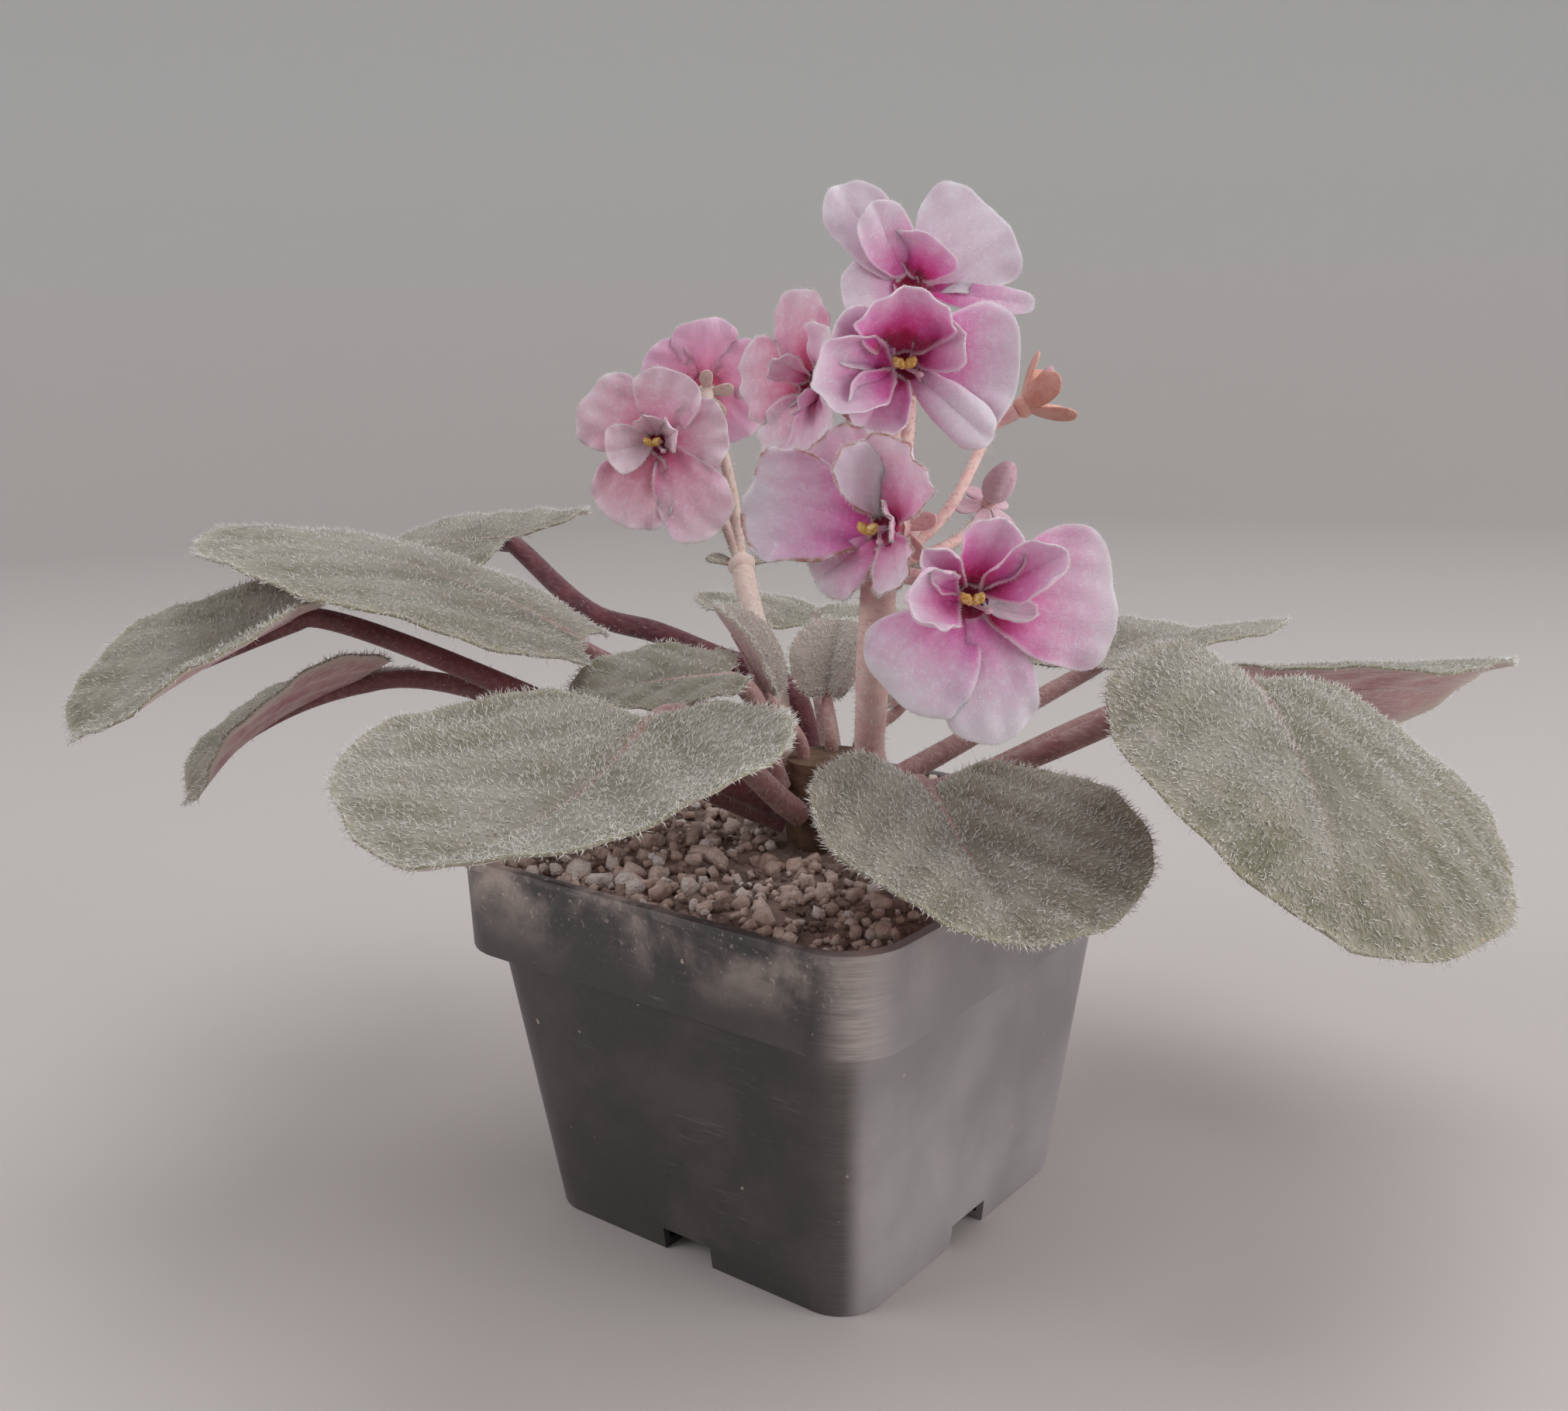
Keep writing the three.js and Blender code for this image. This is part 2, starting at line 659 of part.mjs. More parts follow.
// Egg-shaped, widest towards the tip.
function petalOutline(petal) {
  const middle = PETAL.middle * petal.length;
  return (ring, phi) => {
    const [a, b] = [Math.cos(phi), Math.sin(phi)];
    const x = middle + (a >= 0 ? petal.length - middle : middle) * a;
    return [middle + ring * (x - middle), ring * petal.width * b * (1 + PETAL.shoulder * a)];
  };
}

// A petal, sepal or bract that grows from centre, neck away from the axis.
function petalBody(petal, centre, axes, neck, ruffle, sizes) {
  const [turn, open] = [rad(petal.turn), rad(petal.open)];
  const { right, up, out } = axes;
  const radial = right.clone().multiplyScalar(Math.cos(turn)).addScaledVector(up, Math.sin(turn));
  const along = radial.clone().multiplyScalar(Math.sin(open)).addScaledVector(out, Math.cos(open));
  const face = out.clone().multiplyScalar(Math.sin(open)).addScaledVector(radial, -Math.cos(open));
  const half = { width: petal.width, fold: petal.fold, arch: petal.arch };
  const form = {
    ...petal,
    ...tilted(along, face.cross(along), petal.roll ?? 0),
    twist: 0,
    left: half,
    right: half,
    start: centre.clone().addScaledVector(radial, neck),
  };
  return blade(form, petalOutline(petal), ruffle, sizes);
}

function bloomBody(bloom) {
  const axes = bloomAxes(bloom);
  const centre = vec(bloom.throat);
  const tube = new THREE.SphereGeometry(THROAT, 8, 5).translate(...bloom.throat);
  const petals = bloom.petals.map((petal, i) => {
    const ruffle = (ring, phi) => PETAL.ruffle * ring ** 3 * Math.sin(PETAL.ruffles * phi + 2 * i);
    return petalBody(petal, centre, axes, PETAL.neck, ruffle, PETAL);
  });
  return join([tube, ...petals]);
}

// Two pollen sacs side by side in front of the throat.
function antherBody(bloom) {
  const { out, right } = bloomAxes(bloom);
  const centre = vec(bloom.throat).addScaledVector(out, THROAT + GAP + ANTHER.radius);
  return join(
    [-1, 1].map((side) => {
      const at = centre.clone().addScaledVector(right, side * ANTHER.apart);
      return new THREE.SphereGeometry(ANTHER.radius, 6, 4).translate(at.x, at.y, at.z);
    }),
  );
}

// Stalks

const still = () => 0;

function sepals(centre, axes, spread, { length, width }) {
  return Array.from({ length: SEPAL.count }, (_, i) => {
    const turn = 90 + (i * 360) / SEPAL.count;
    const sepal = { turn, open: spread, length, width, droop: -16, fold: 8, arch: 10 };
    return petalBody(sepal, centre, axes, SEPAL.neck, still, SEPAL);
  });
}

// Where a branch ends behind what it carries, and the axes of its calyx.
function branchEnd(name) {
  if (name === SPENT.name) return { at: vec(SPENT.at), axes: bloomAxes(SPENT), back: SPENT.pod + GAP };
  if (name === BUD.name) return { at: vec(BUD.at), axes: bloomAxes(BUD), back: BUD.length + GAP };
  const bloom = BLOOMS.find((one) => one.name === name);
  return { at: vec(bloom.throat), axes: bloomAxes(bloom), back: THROAT + GAP };
}

function branchBodies(branch, from) {
  const { at, axes, back } = branchEnd(branch.to);
  const end = at.clone().addScaledVector(axes.out, -back);
  const before = end.clone().addScaledVector(axes.out, -TUBE_IN_CALYX.straight);
  const calyx = end.clone().addScaledVector(axes.out, -TUBE_IN_CALYX.calyx);
  const points = [from, ...branch.via.map(vec), before, end];
  const curve = new THREE.CatmullRomCurve3(points, false, "centripetal");
  const radii = [1, 1, 1, 1.5].map((swell) => swell * branch.radius);
  const stalk = stem(curve.getPoints(4 + branch.via.length), radii, 5);
  if (branch.to === SPENT.name) return [stalk];
  return [stalk, ...sepals(calyx, axes, SEPAL.spread, SEPAL)];
}

function stalkBody(plan) {
  const foot = sideFoot(plan.root, plan.radius[0]);
  const above = foot.clone().addScaledVector(heading(plan.root.azimuth, plan.root.rise), 2);
  const run = new THREE.CatmullRomCurve3([foot, above, ...plan.run.map(vec)], false, "centripetal");
  const fork = vec(plan.run[plan.run.length - 1]);
  const knot = new THREE.SphereGeometry(FORK.swell * plan.radius[1], 6, 4).translate(...fork);
  const neck = plan.radius[1] - SEPAL.neck;
  const bracts = FORK.bractTurns.map((turn) =>
    petalBody({ turn, ...FORK.bract }, fork, bloomAxes(FORK), neck, still, SEPAL),
  );
  const branches = plan.branches.flatMap((branch) => branchBodies(branch, fork));
  return join([stem(run.getPoints(8), plan.radius, 6), knot, ...bracts, ...branches]);
}

// What is left of a bloom once its petals have dropped: the star of its calyx round the seed pod.
function spentBody() {
  const axes = bloomAxes(SPENT);
  const pod = new THREE.SphereGeometry(SPENT.pod, 7, 5).translate(...SPENT.at);
  return join([pod, ...sepals(vec(SPENT.at), axes, SPENT.spread, SPENT.sepal)]);
}

function budBody() {
  const { out } = bloomAxes(BUD);
  const profile = [];
  const steps = 7;
  for (let i = 0; i <= steps; i++) {
    const a = (i / steps) * Math.PI;
    const waist = 1 - BUD.waist * Math.cos(a);
    const radius = i % steps ? BUD.radius * Math.sin(a) * waist : 0;
    profile.push(new THREE.Vector2(radius, -BUD.length * Math.cos(a)));
  }
  const egg = new THREE.LatheGeometry(profile, 8);
  egg.applyQuaternion(new THREE.Quaternion().setFromUnitVectors(new THREE.Vector3(0, 1, 0), out));
  return solid(egg.translate(...BUD.at));
}

// Pot, soil and crown

// The height of the step under the band, and the pot's widths there and above.
function potWidths() {
  const bandTop = POT.rimWidth - 2 * POT.lip;
  return {
    step: POT.height - POT.bandHeight,
    body: POT.rimWidth - 2 * POT.stepInset,
    bandFoot: bandTop - POT.bandTaper,
    bandTop,
  };
}

function potBody() {
  const { step, body, bandFoot, bandTop } = potWidths();
  const lipFoot = POT.height - POT.lipHeight;
  const outside = loft([
    roundedSquare(POT.baseWidth, POT.baseCorner, 0),
    roundedSquare(body, POT.bodyCorner, step),
    roundedSquare(bandFoot, POT.rimCorner, step + POT.stepRise),
    roundedSquare(bandTop, POT.rimCorner, lipFoot),
    roundedSquare(POT.rimWidth, POT.rimCorner, lipFoot),
    roundedSquare(POT.rimWidth, POT.rimCorner, POT.height),
  ]);
  const inside = solid(potInside(POT.wall, POT.floor, POT.height + 1));
  return solid(outside).subtract(inside).subtract(drains());
}

// The room inside the walls, kept margin away from the pot's outer faces. Where that is more than the wall,
// the slope of the step lies higher too, so that the soil keeps its distance there.
function potInside(margin, bottom, top) {
  const { step, body, bandFoot, bandTop } = potWidths();
  const widthAt = (z) => THREE.MathUtils.lerp(POT.baseWidth, body, z / step) - 2 * margin;
  const bandAt = (z) => {
    const share = (z - step - POT.stepRise) / (POT.bandHeight - POT.stepRise);
    return THREE.MathUtils.lerp(bandFoot, bandTop, share) - 2 * margin;
  };
  const higher = step + margin - POT.wall;
  const ledge = higher + 0.4 * POT.stepRise;
  return loft([
    roundedSquare(widthAt(bottom), POT.baseCorner - margin, bottom),
    roundedSquare(widthAt(ledge), POT.bodyCorner - margin, ledge),
    roundedSquare(bandAt(step + POT.stepRise), POT.rimCorner - margin, higher + 1.4 * POT.stepRise),
    roundedSquare(bandAt(top), POT.rimCorner - margin, top),
  ]);
}

// A drain slot through the foot of each side.
function drains() {
  const depth = 5;
  return [0, 1, 2, 3]
    .map((k) => {
      const slot = new THREE.BoxGeometry(2 * depth, POT.drainWidth, POT.drainHeight * 2);
      return solid(slot.translate(POT.baseWidth / 2, 0, 0).rotateZ((k * Math.PI) / 2));
    })
    .reduce((sum, slot) => sum.add(slot));
}

// A repeatable random number from 0 to 1.
function seeded(seed) {
  let state = seed;
  return () => {
    state = (state * 1664525 + 1013904223) % 4294967296;
    return state / 4294967296;
  };
}

function soilTop(x, y) {
  const swell = Math.sin(0.13 * x + 0.6) * Math.cos(0.17 * y - 0.4) + 0.4 * Math.sin(0.41 * x - 0.3 * y);
  return SOIL.top + SOIL.swell * swell;
}

// A crumb of bark or perlite.
function grain(random, size) {
  const Shape = random() < 0.8 ? THREE.OctahedronGeometry : THREE.IcosahedronGeometry;
  const squash = 0.6 + 0.4 * random();
  const stretch = THREE.MathUtils.lerp(1, SOIL.grainStretch, random());
  return new Shape(size).scale(stretch, 1, squash).rotateX(random() * 3).rotateZ(random() * 6);
}

function soilBody() {
  const inset = POT.wall + GAP;
  const wide = potWidths().bandTop - 2 * inset;
  const base = solid(potInside(inset, POT.floor + GAP, POT.height));
  const shares = [1.2, 0.97, 0.72, 0.46, 0.2];
  const surface = shares.map((share) =>
    roundedSquare(wide * share, Math.min(POT.rimCorner, 0.3 * wide * share), 0, 2).map((p) =>
      p.setZ(soilTop(p.x, p.y)),
    ),
  );
  const under = surface[0].map((p) => p.clone().setZ(0));
  const fill = base.intersect(solid(loft([under, ...surface])));
  const random = seeded(7);
  const grains = [];
  while (grains.length < SOIL.grains) {
    const size = THREE.MathUtils.lerp(...SOIL.grainSize, random() ** 1.5);
    const reach = wide / 2 - SOIL.clearOfWall - SOIL.grainStretch * size;
    const [x, y] = [(2 * random() - 1) * reach, (2 * random() - 1) * reach];
    const past = (across) => Math.max(Math.abs(across) - reach + POT.rimCorner, 0);
    const fromCrown = Math.hypot(x - CROWN.at[0], y - CROWN.at[1]);
    if (fromCrown < SOIL.clearOfCrown || Math.hypot(past(x), past(y)) > POT.rimCorner) continue;
    grains.push(solid(grain(random, size).translate(x, y, soilTop(x, y) + SOIL.grainLift)));
  }
  const topped = grains.reduce((sum, one) => sum.add(one), fill);
  return topped.subtract(solid(crownShape(GAP, 20)));
}

// The stem that carries the leaves, or with a margin the plain hole that it stands in.
function crownShape(margin, top) {
  const neck = (CROWN.bottom + SOIL.top) / 2;
  const profile = [
    [0, CROWN.bottom - margin],
    [CROWN.rootRadius - 0.4 + margin, CROWN.bottom - margin],
    [CROWN.rootRadius + 0.3 + margin, neck],
    [CROWN.radius - 0.4 + margin, SOIL.top + 1],
    [CROWN.radius + margin, CROWN.shoulder],
    [CROWN.topRadius + margin, CROWN.top + top],
    [0, CROWN.top + top],
  ].map(([r, z]) => new THREE.Vector2(r, z));
  return new THREE.LatheGeometry(profile, 14).rotateX(Math.PI / 2).translate(...CROWN.at, 0);
}

// The whole plant

const violet = new THREE.Group();

function place(name, body, finish) {
  const mesh = new THREE.Mesh(geometryOf(body), new THREE.MeshStandardMaterial(FINISH[finish]));
  mesh.name = name;
  violet.add(mesh);
}

place("pot", potBody(), "pot");
place("soil", soilBody(), "soil");
place("crown", solid(crownShape(0, 0)), "crown");
LEAVES.forEach((leaf, i) => place(leaf.name, rosetteLeaf(leaf, i), "leaf"));
YOUNG_LEAVES.forEach((leaf, i) => place(leaf.name, youngLeaf(leaf, i), "leaf"));
STALKS.forEach((plan) => place(plan.name, stalkBody(plan), "stalk"));
for (const bloom of BLOOMS) {
  place(bloom.name, bloomBody(bloom), "bloom");
  if (bloom.anthers) place(bloom.name.replace("bloom", "anthers"), antherBody(bloom), "anthers");
}
place(SPENT.name, spentBody(), "spent");
place(BUD.name, budBody(), "bloom");

export default violet;
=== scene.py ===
import math
import bpy
import numpy as np
from mathutils import Matrix, Vector


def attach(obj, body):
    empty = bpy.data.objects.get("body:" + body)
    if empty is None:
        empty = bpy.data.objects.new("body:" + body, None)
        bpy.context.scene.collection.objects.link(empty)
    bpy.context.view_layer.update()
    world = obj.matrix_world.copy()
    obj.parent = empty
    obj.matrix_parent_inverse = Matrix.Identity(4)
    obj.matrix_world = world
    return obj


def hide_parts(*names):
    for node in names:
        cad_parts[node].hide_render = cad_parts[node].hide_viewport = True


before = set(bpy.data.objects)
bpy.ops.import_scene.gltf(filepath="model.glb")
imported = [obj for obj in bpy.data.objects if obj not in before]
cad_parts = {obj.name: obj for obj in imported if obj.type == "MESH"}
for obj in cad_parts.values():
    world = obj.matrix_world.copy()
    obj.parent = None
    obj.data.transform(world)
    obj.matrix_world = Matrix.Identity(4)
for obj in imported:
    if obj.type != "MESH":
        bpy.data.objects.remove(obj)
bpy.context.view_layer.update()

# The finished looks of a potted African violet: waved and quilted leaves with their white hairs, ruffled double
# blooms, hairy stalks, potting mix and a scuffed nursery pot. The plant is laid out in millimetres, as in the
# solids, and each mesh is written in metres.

bpy.ops.object.select_all(action="DESELECT")

MM = 0.001
SAME_POINT = 1e-7  # metres
ROOT_DEPTH = 1.2  # how far a stem's foot is sunk into what carries it
STALK_STEPS = 40
LEAF_MIDDLE = 0.4  # of a leaf's length, where the rings of its blade have their middle
THIN_RIM = 0.45  # of a blade's full thickness
RIM_POWER = 6  # a blade thins with this power of the way to its rim
RIM_ROUNDING = 0.3  # of the thickness at the rim
INNER_HAIRS = 0.68  # of the length of a leaf's rim hairs
FULL_TURN = 2 * math.pi
UP = np.array([0.0, 0.0, 1.0])

# Sizes and places, in millimetres and degrees

CROWN = dict(at=(3.5, 2.5), radius=7, top_radius=6.4, root_radius=5.2, bottom=43, shoulder=67, top=69.5)
POT = dict(rim_width=78, rim_corner=9, base_width=58.6, height=58, band_height=16.2, band_taper=0.6,
           step_inset=4.5, step_rise=1.6, lip=0.7, lip_height=1.4, wall=1, floor=1.2,
           drain_width=9, drain_height=3.6)
SOIL = dict(top=56, swell=0.7, heap=0.9, heap_at=(28, -28), corner=8, gap=0.2, skirt=6, cells=104, crown_room=8.4)
# What lies loose on the soil: how many, their radii and how far their middles stand over the soil
LOOSE = [
    dict(name="soil_dirt", count=950, radii=(0.35, 0.95), skin="soil", lift=0.1),
    dict(name="soil_bark", count=780, radii=(0.45, 1.5), skin="bark", lift=0.3),
    dict(name="soil_perlite", count=300, radii=(0.4, 1.25), skin="perlite", lift=0.25),
]
# The largest lumps of perlite: x, y and radius
WHITE_LUMPS = [
    (-13, -31, 2.3), (-17.5, -30.5, 2.1), (-9.5, -29, 2), (-21, -31.5, 1.8), (-5, -32, 1.7), (-15, -26, 1.7),
    (1.5, -28, 1.5), (9, -25.5, 1.3), (24, 20, 1.7), (-26, 24, 1.6), (12, 29, 1.5), (-30, -5, 1.6)]
GAP = 0.3  # between two solids that touch on the real plant

# A leaf has the notch where its stalk meets the blade (base), where the blade points and how it is tilted, its
# length, how far the lobes reach back, its point, how much it droops and twists, the width, fold and arch of its
# left and right half, the azimuth, height and rise of its stalk at the crown (root), how the stalk bends (bow, soar,
# via) and how stout it is, how bronze the blade's green is and how wine red the stalk, and for the leaves at the
# front their own count of curled hairs.
LEAVES = [
    dict(name="leaf_front_left", base=(0.5, -33.5, 82.5), heading=-72, rise=-19, roll=15,
         length=51, lobe=4.3, point=3, droop=-29, twist=0, left=(29, -8, -21), right=(29, 25, -4),
         root=(-92, 63, 35), bow=0.35, bronze=0.15, wine=0.45, curls=2.6),
    dict(name="leaf_front", base=(29, -9.5, 72), heading=-38, rise=-19, roll=-12,
         length=36.5, lobe=5.6, point=-0.5, droop=-4, twist=0, left=(23.5, 12, -14), right=(22, 12, 9),
         root=(-20, 60, 25), bow=0.3, bronze=0.75, wine=0.5, curls=2.8),
    dict(name="leaf_right", base=(59.5, 24, 84.5), heading=-41, rise=-18, roll=-34,
         length=46.5, lobe=5, point=2, droop=28, twist=-3, left=(34, 22, 20), right=(28, -5, 31),
         root=(12, 63, 12), bow=0.12, bronze=0.0, wine=0.6, curls=2.6),
    dict(name="leaf_left", base=(-29, -16, 87), heading=-143, rise=33, roll=6.5,
         length=56, lobe=5.5, point=3, droop=32, twist=-2, left=(31, -4, 6), right=(31, 12, 31),
         root=(-160, 66, 55), bow=0.3, bronze=0.2, wine=0.5),
    dict(name="leaf_far_left", base=(-49, -51.5, 95), heading=-122, rise=-21, roll=-2,
         length=34.5, lobe=6, point=0, droop=7, twist=-10, left=(19.5, 11, -6), right=(20, 8, -2),
         root=(-130, 62.5, 25), bow=0.08, soar=0.15, bronze=0.35, wine=0.9),
    dict(name="leaf_low_left", base=(-55.5, -35, 82), heading=-140, rise=-12, roll=12,
         length=34.5, lobe=8, point=0, droop=39, twist=-32, left=(20, 8, -5), right=(20, 2, 1),
         root=(-150, 59.5, 20), bow=0.25, bronze=0.8, wine=0.8),
    dict(name="leaf_back_left", base=(-71, 10, 96.5), heading=173, rise=-4, roll=-14,
         length=43, lobe=7.9, point=0.5, droop=4, twist=0, left=(25, 2, 21), right=(25, 10, 38),
         root=(146, 64.5, 45), bow=0.1, bronze=0.3, wine=1, stout=1.2,
         via=[(-11.5, 13.6, 74.2), (-18.5, 14.7, 77.3), (-26.1, 12.3, 79.6), (-37.5, 10.2, 83), (-50, 8, 85.3)]),
    dict(name="leaf_inner_left", base=(-5, -11, 83.6), heading=-128, rise=1, roll=-16,
         length=22.5, lobe=4, point=0.5, droop=10, twist=0, left=(9.5, 12, 14), right=(8.5, 12, 8),
         root=(-115, 67, 68), bow=0.35, bronze=0.0, wine=0.3),
    dict(name="leaf_back_right", base=(43, 51.5, 76), heading=48, rise=-5, roll=-25,
         length=46.5, lobe=7.7, point=0, droop=-6, twist=0, left=(27, -7, 21), right=(27.5, 5, 27),
         root=(46, 60, 12), bow=0.3, bronze=0.5, wine=0.6),
    dict(name="leaf_back", base=(18.5, 54.5, 75.5), heading=83, rise=9, roll=-1,
         length=42, lobe=8, point=0, droop=20, twist=0, left=(24, 13, 29), right=(24, 15, 9),
         root=(78, 62, 12), bow=0.3, bronze=0.5, wine=0.6),
    dict(name="leaf_back_far", base=(-31, 45, 79), heading=124, rise=6, roll=3,
         length=40, lobe=6.5, point=0.5, droop=26, twist=4, left=(23, 10, 16), right=(23, 9, 20),
         root=(124, 61, 20), bow=0.3, bronze=0.3, wine=0.6),
]
# The sizes that all leaves share. curls, hairs and rim_hairs are counts: curled hairs and straight ones to a square
# millimetre, and rim hairs to a millimetre.
LEAF = dict(thickness=0.9, stalk_at_crown=1.9, stalk_at_blade=1.4, vein_end=0.3, wave=0.45, waves=7, quilt=0.3,
            rings=27, spokes=116, curls=0.9, hairs=0.6, rim_hairs=5.5, hair_length=1.15, pale=0.0)

# The young leaves stand on the crown's top at foot.
YOUNG_LEAVES = [
    dict(name="leaf_young_back", foot=(1.6, 5.6), base=(-2, 9.5, 77), heading=112, rise=58, roll=0,
         length=12.5, lobe=1.8, point=1, droop=22, left=(6.8, 32, 6), right=(6.8, 32, 6)),
    dict(name="leaf_young_left", foot=(0.4, 0), base=(-4.5, -2, 79.5), heading=-162, rise=66, roll=8,
         length=14, lobe=1.8, point=1, droop=18, left=(6.5, 30, 6), right=(6.5, 34, 6)),
    dict(name="leaf_young_right", foot=(7, 5), base=(11, 9.5, 77), heading=34, rise=52, roll=0,
         length=12, lobe=1.6, point=1, droop=18, left=(5.5, 34, 4), right=(5.5, 34, 4)),
]
YOUNG_HABIT = dict(twist=0, bow=0.3, bronze=0, wine=0.2)
YOUNG = dict(thickness=0.8, stalk_at_crown=1.05, stalk_at_blade=0.85, vein_end=0.3, wave=0.15, waves=5, quilt=0.1,
             rings=16, spokes=50, curls=2.6, hairs=3.5, rim_hairs=6, hair_length=0.95, pale=0.7)
# How the hairs vary, where those of a leaf's rim begin (the square of the way out to it), and the share of its down
# that grows on its underside
HAIRS = dict(lean=0.28, lengths=(0.6, 1.25), widths=(0.75, 1.25), rim_ring=0.96, under=0.15)
# The midrib under a leaf, as shares of its length
MIDRIB = dict(start=0.03, end=0.72, steps=24)
# The side veins of a leaf: how many to its length, and how they sweep and curve forward from the midrib
VEINS = dict(count=3.4, sweep=0.9, curve=0.6)

# A bloom has its throat, where it faces, how brown its rims are, how crumpled it is, and its petals: turn round the
# face, opening from its axis, length, half width, droop, fold, arch and roll, then how much paler it is than the
# usual (or deeper, below 0), how faded, and how far its rim is cupped to the front. That paleness is partly the
# petal's own and partly painted light: petals that stand in shade are set deeper, and some shaded ones paler so that
# they look lit. The last short ones stand inside the throat. Most petals of bloom_low_right, bloom_low_left,
# bloom_middle and bloom_top are placed or formed otherwise than in the solids, and nine petals of all the blooms are
# here alone.
BLOOMS = [
    dict(name="bloom_low_right", throat=(41.2, -19.4, 99.8), heading=-52, rise=13, anthers=True, aged=0.15, crumple=1,
         petals=[
             (232, 80, 13.5, 7.4, 22, 6, 10, 0, 0.12, 0, -0.5), (281, 86, 16, 6, 12, -4, -8, 0, 0.2, 0, -0.3),
             (0, 84, 16.5, 8.6, 16, 6, 8, 0, 0.02, 0.2, 0.3), (25, 68, 13, 4.8, -20, 26, -30, 0, -0.06, 0, 0.9),
             (182, 58, 10.6, 6.4, -24, 28, -40, 0, 0.08, 0, 0.8), (136, 60, 9, 3.8, -16, 26, -40, 0, -0.02, 0, 0.6),
             (66, 78, 9.4, 5, -14, 14, -30, 0, -0.08, 0, 0.7), (338, 76, 7.2, 1.9, -20, 20, 20, -35, 1, 0, 0.6)]),
    dict(name="bloom_low_left", throat=(29.3, -20, 108), heading=-94, rise=5, anthers=True, aged=1, crumple=1.5,
         petals=[
             (167, 62, 17.2, 8.2, 12, 14, -20, 0, 0.12, 0, 0.5), (99, 48, 11.4, 3.3, -8, 4, -16, 58, 1, 0, 0.1),
             (60, 72, 11.6, 5.6, -8, 10, 14, 0, 0.1, 0.5, 0.4), (124, 78, 12.6, 5.4, 4, 10, 14, 0, -0.05, 0.5, 0.4),
             (220, 66, 10.4, 4.6, 24, 20, 24, 0, 0.1, 0.3, -0.5), (312, 58, 8.4, 3.8, 10, 18, 20, 0, 0.1, 0.4, 0.4),
             (20, 30, 6, 2.2, 10, 30, 50, 0, 0.2, 0.3, 0.3)]),
    dict(name="bloom_middle", throat=(26.6, -11.9, 127.8), heading=-52, rise=4, anthers=True, aged=0, crumple=0.8,
         petals=[
             (92, 48, 11, 7.2, -8, 20, -20, 0, -0.24, 0, 0.5), (192, 58, 12.4, 7, 4, 24, -30, 0, 0.04, 0, 0.8),
             (316, 48, 14.5, 3.4, 28, 26, 60, 0, 0.36, 0, -0.6), (356, 70, 13.2, 8, 12, 10, 12, 0, 0.06, 0, 0.2),
             (151, 60, 11, 3.8, -14, 24, 30, 0, 0.12, 0, 0.5), (24, 56, 9.2, 3.6, -18, 26, 30, 0, 0, 0, 0.6),
             (236, 62, 9.8, 5.2, 4, 20, -20, 0, 0, 0, 0.7)]),
    dict(name="bloom_top", throat=(22, -3.5, 137.2), heading=-52, rise=20, anthers=False, aged=0, crumple=0.8,
         petals=[
             (127, 72, 14.5, 4.3, 8, 10, 14, 0, 0.55, 0, 0.3), (118, 52, 10.5, 3.6, 10, 18, 20, 0, 0.12, 0, 0.3),
             (37, 76, 13.4, 7.8, 10, 6, 12, 0, 0.6, 0, 0.3), (347, 76, 15, 2, 10, 12, 14, 0, 0, 0, 0),
             (190, 80, 7.2, 4.6, 14, 8, 10, 0, 0.4, 0, 0), (58, 52, 6.6, 4.4, -20, 10, 10, 0, -0.12, 0, 0.5)]),
    dict(name="bloom_side", throat=(9.5, -8, 124.5), heading=-104, rise=2, anthers=False, aged=0.3, crumple=1.3,
         petals=[
             (100, 80, 11.5, 5.8, 14, 10, 12, 0, -0.08, 0.8, 0.2), (174, 80, 13, 6, 12, 8, 12, 0, -0.1, 0.8, 0.2),
             (240, 76, 11, 5.6, 16, 10, 14, 0, 0.18, 0.6, 0.3), (300, 62, 10.5, 6, 8, 16, 16, 0, 0.2, 0.4, 0.5),
             (30, 62, 10, 5.4, 14, 14, 14, 0, 0.2, 0.4, 0.4), (120, 30, 6, 2.8, 0, 30, 40, 0, 0, 0.6, 0.4),
             (320, 26, 5.4, 2.4, 0, 30, 40, 0, 0.1, 0.5, 0.3)]),
    dict(name="bloom_left", throat=(-42.2, 17.5, 113.9), heading=-66, rise=4, anthers=True, aged=0.3, crumple=1.2,
         petals=[
             (150, 78, 13, 6.8, 16, 6, 10, 0, 0.1, 0.9, 0.2), (244, 76, 13.5, 7.4, 14, 8, 10, 0, 0, 1, 0.2),
             (304, 74, 17, 6.4, 20, 10, 12, 0, 0.05, 0.8, 0.3), (8, 78, 11, 6, 12, 8, 10, 0, 0.25, 0.8, 0.2),
             (72, 70, 11, 6, 10, 10, 12, 0, 0.2, 0.8, 0.3), (192, 46, 8, 4, 16, 20, 26, 0, 0.6, 0.7, 0.5),
             (20, 34, 6.5, 2.8, 0, 30, 40, 0, 0.5, 0.7, 0.4), (100, 30, 6, 2.6, 0, 34, 40, 0, 0.5, 0.7, 0.3)]),
    dict(name="bloom_left_back", throat=(-44.3, 32.8, 122.4), heading=130, rise=22, anthers=True, aged=0.2,
         crumple=1.2,
         petals=[
             (90, 72, 10, 5.6, 14, 8, 12, 0, 0.2, 0.8, 0.2), (162, 74, 10, 5.6, 14, 8, 12, 0, 0.1, 0.8, 0.3),
             (234, 78, 11, 6, 14, 8, 12, 0, 0.1, 0.8, 0.2), (306, 78, 11, 6, 14, 8, 12, 0, 0.2, 0.8, 0.2),
             (18, 74, 10, 5.6, 14, 8, 12, 0, 0.3, 0.8, 0.4), (60, 30, 6, 2.6, 0, 30, 40, 0, 0.4, 0.7, 0.3)]),
]
PETAL = dict(thickness=0.42, neck=1.7, ruffle=0.45, ruffles=4, middle=0.56, shoulder=0.24, rings=14, spokes=48)
PETAL_HAIRS = dict(count=170, length=0.28, aged_length=0.22)
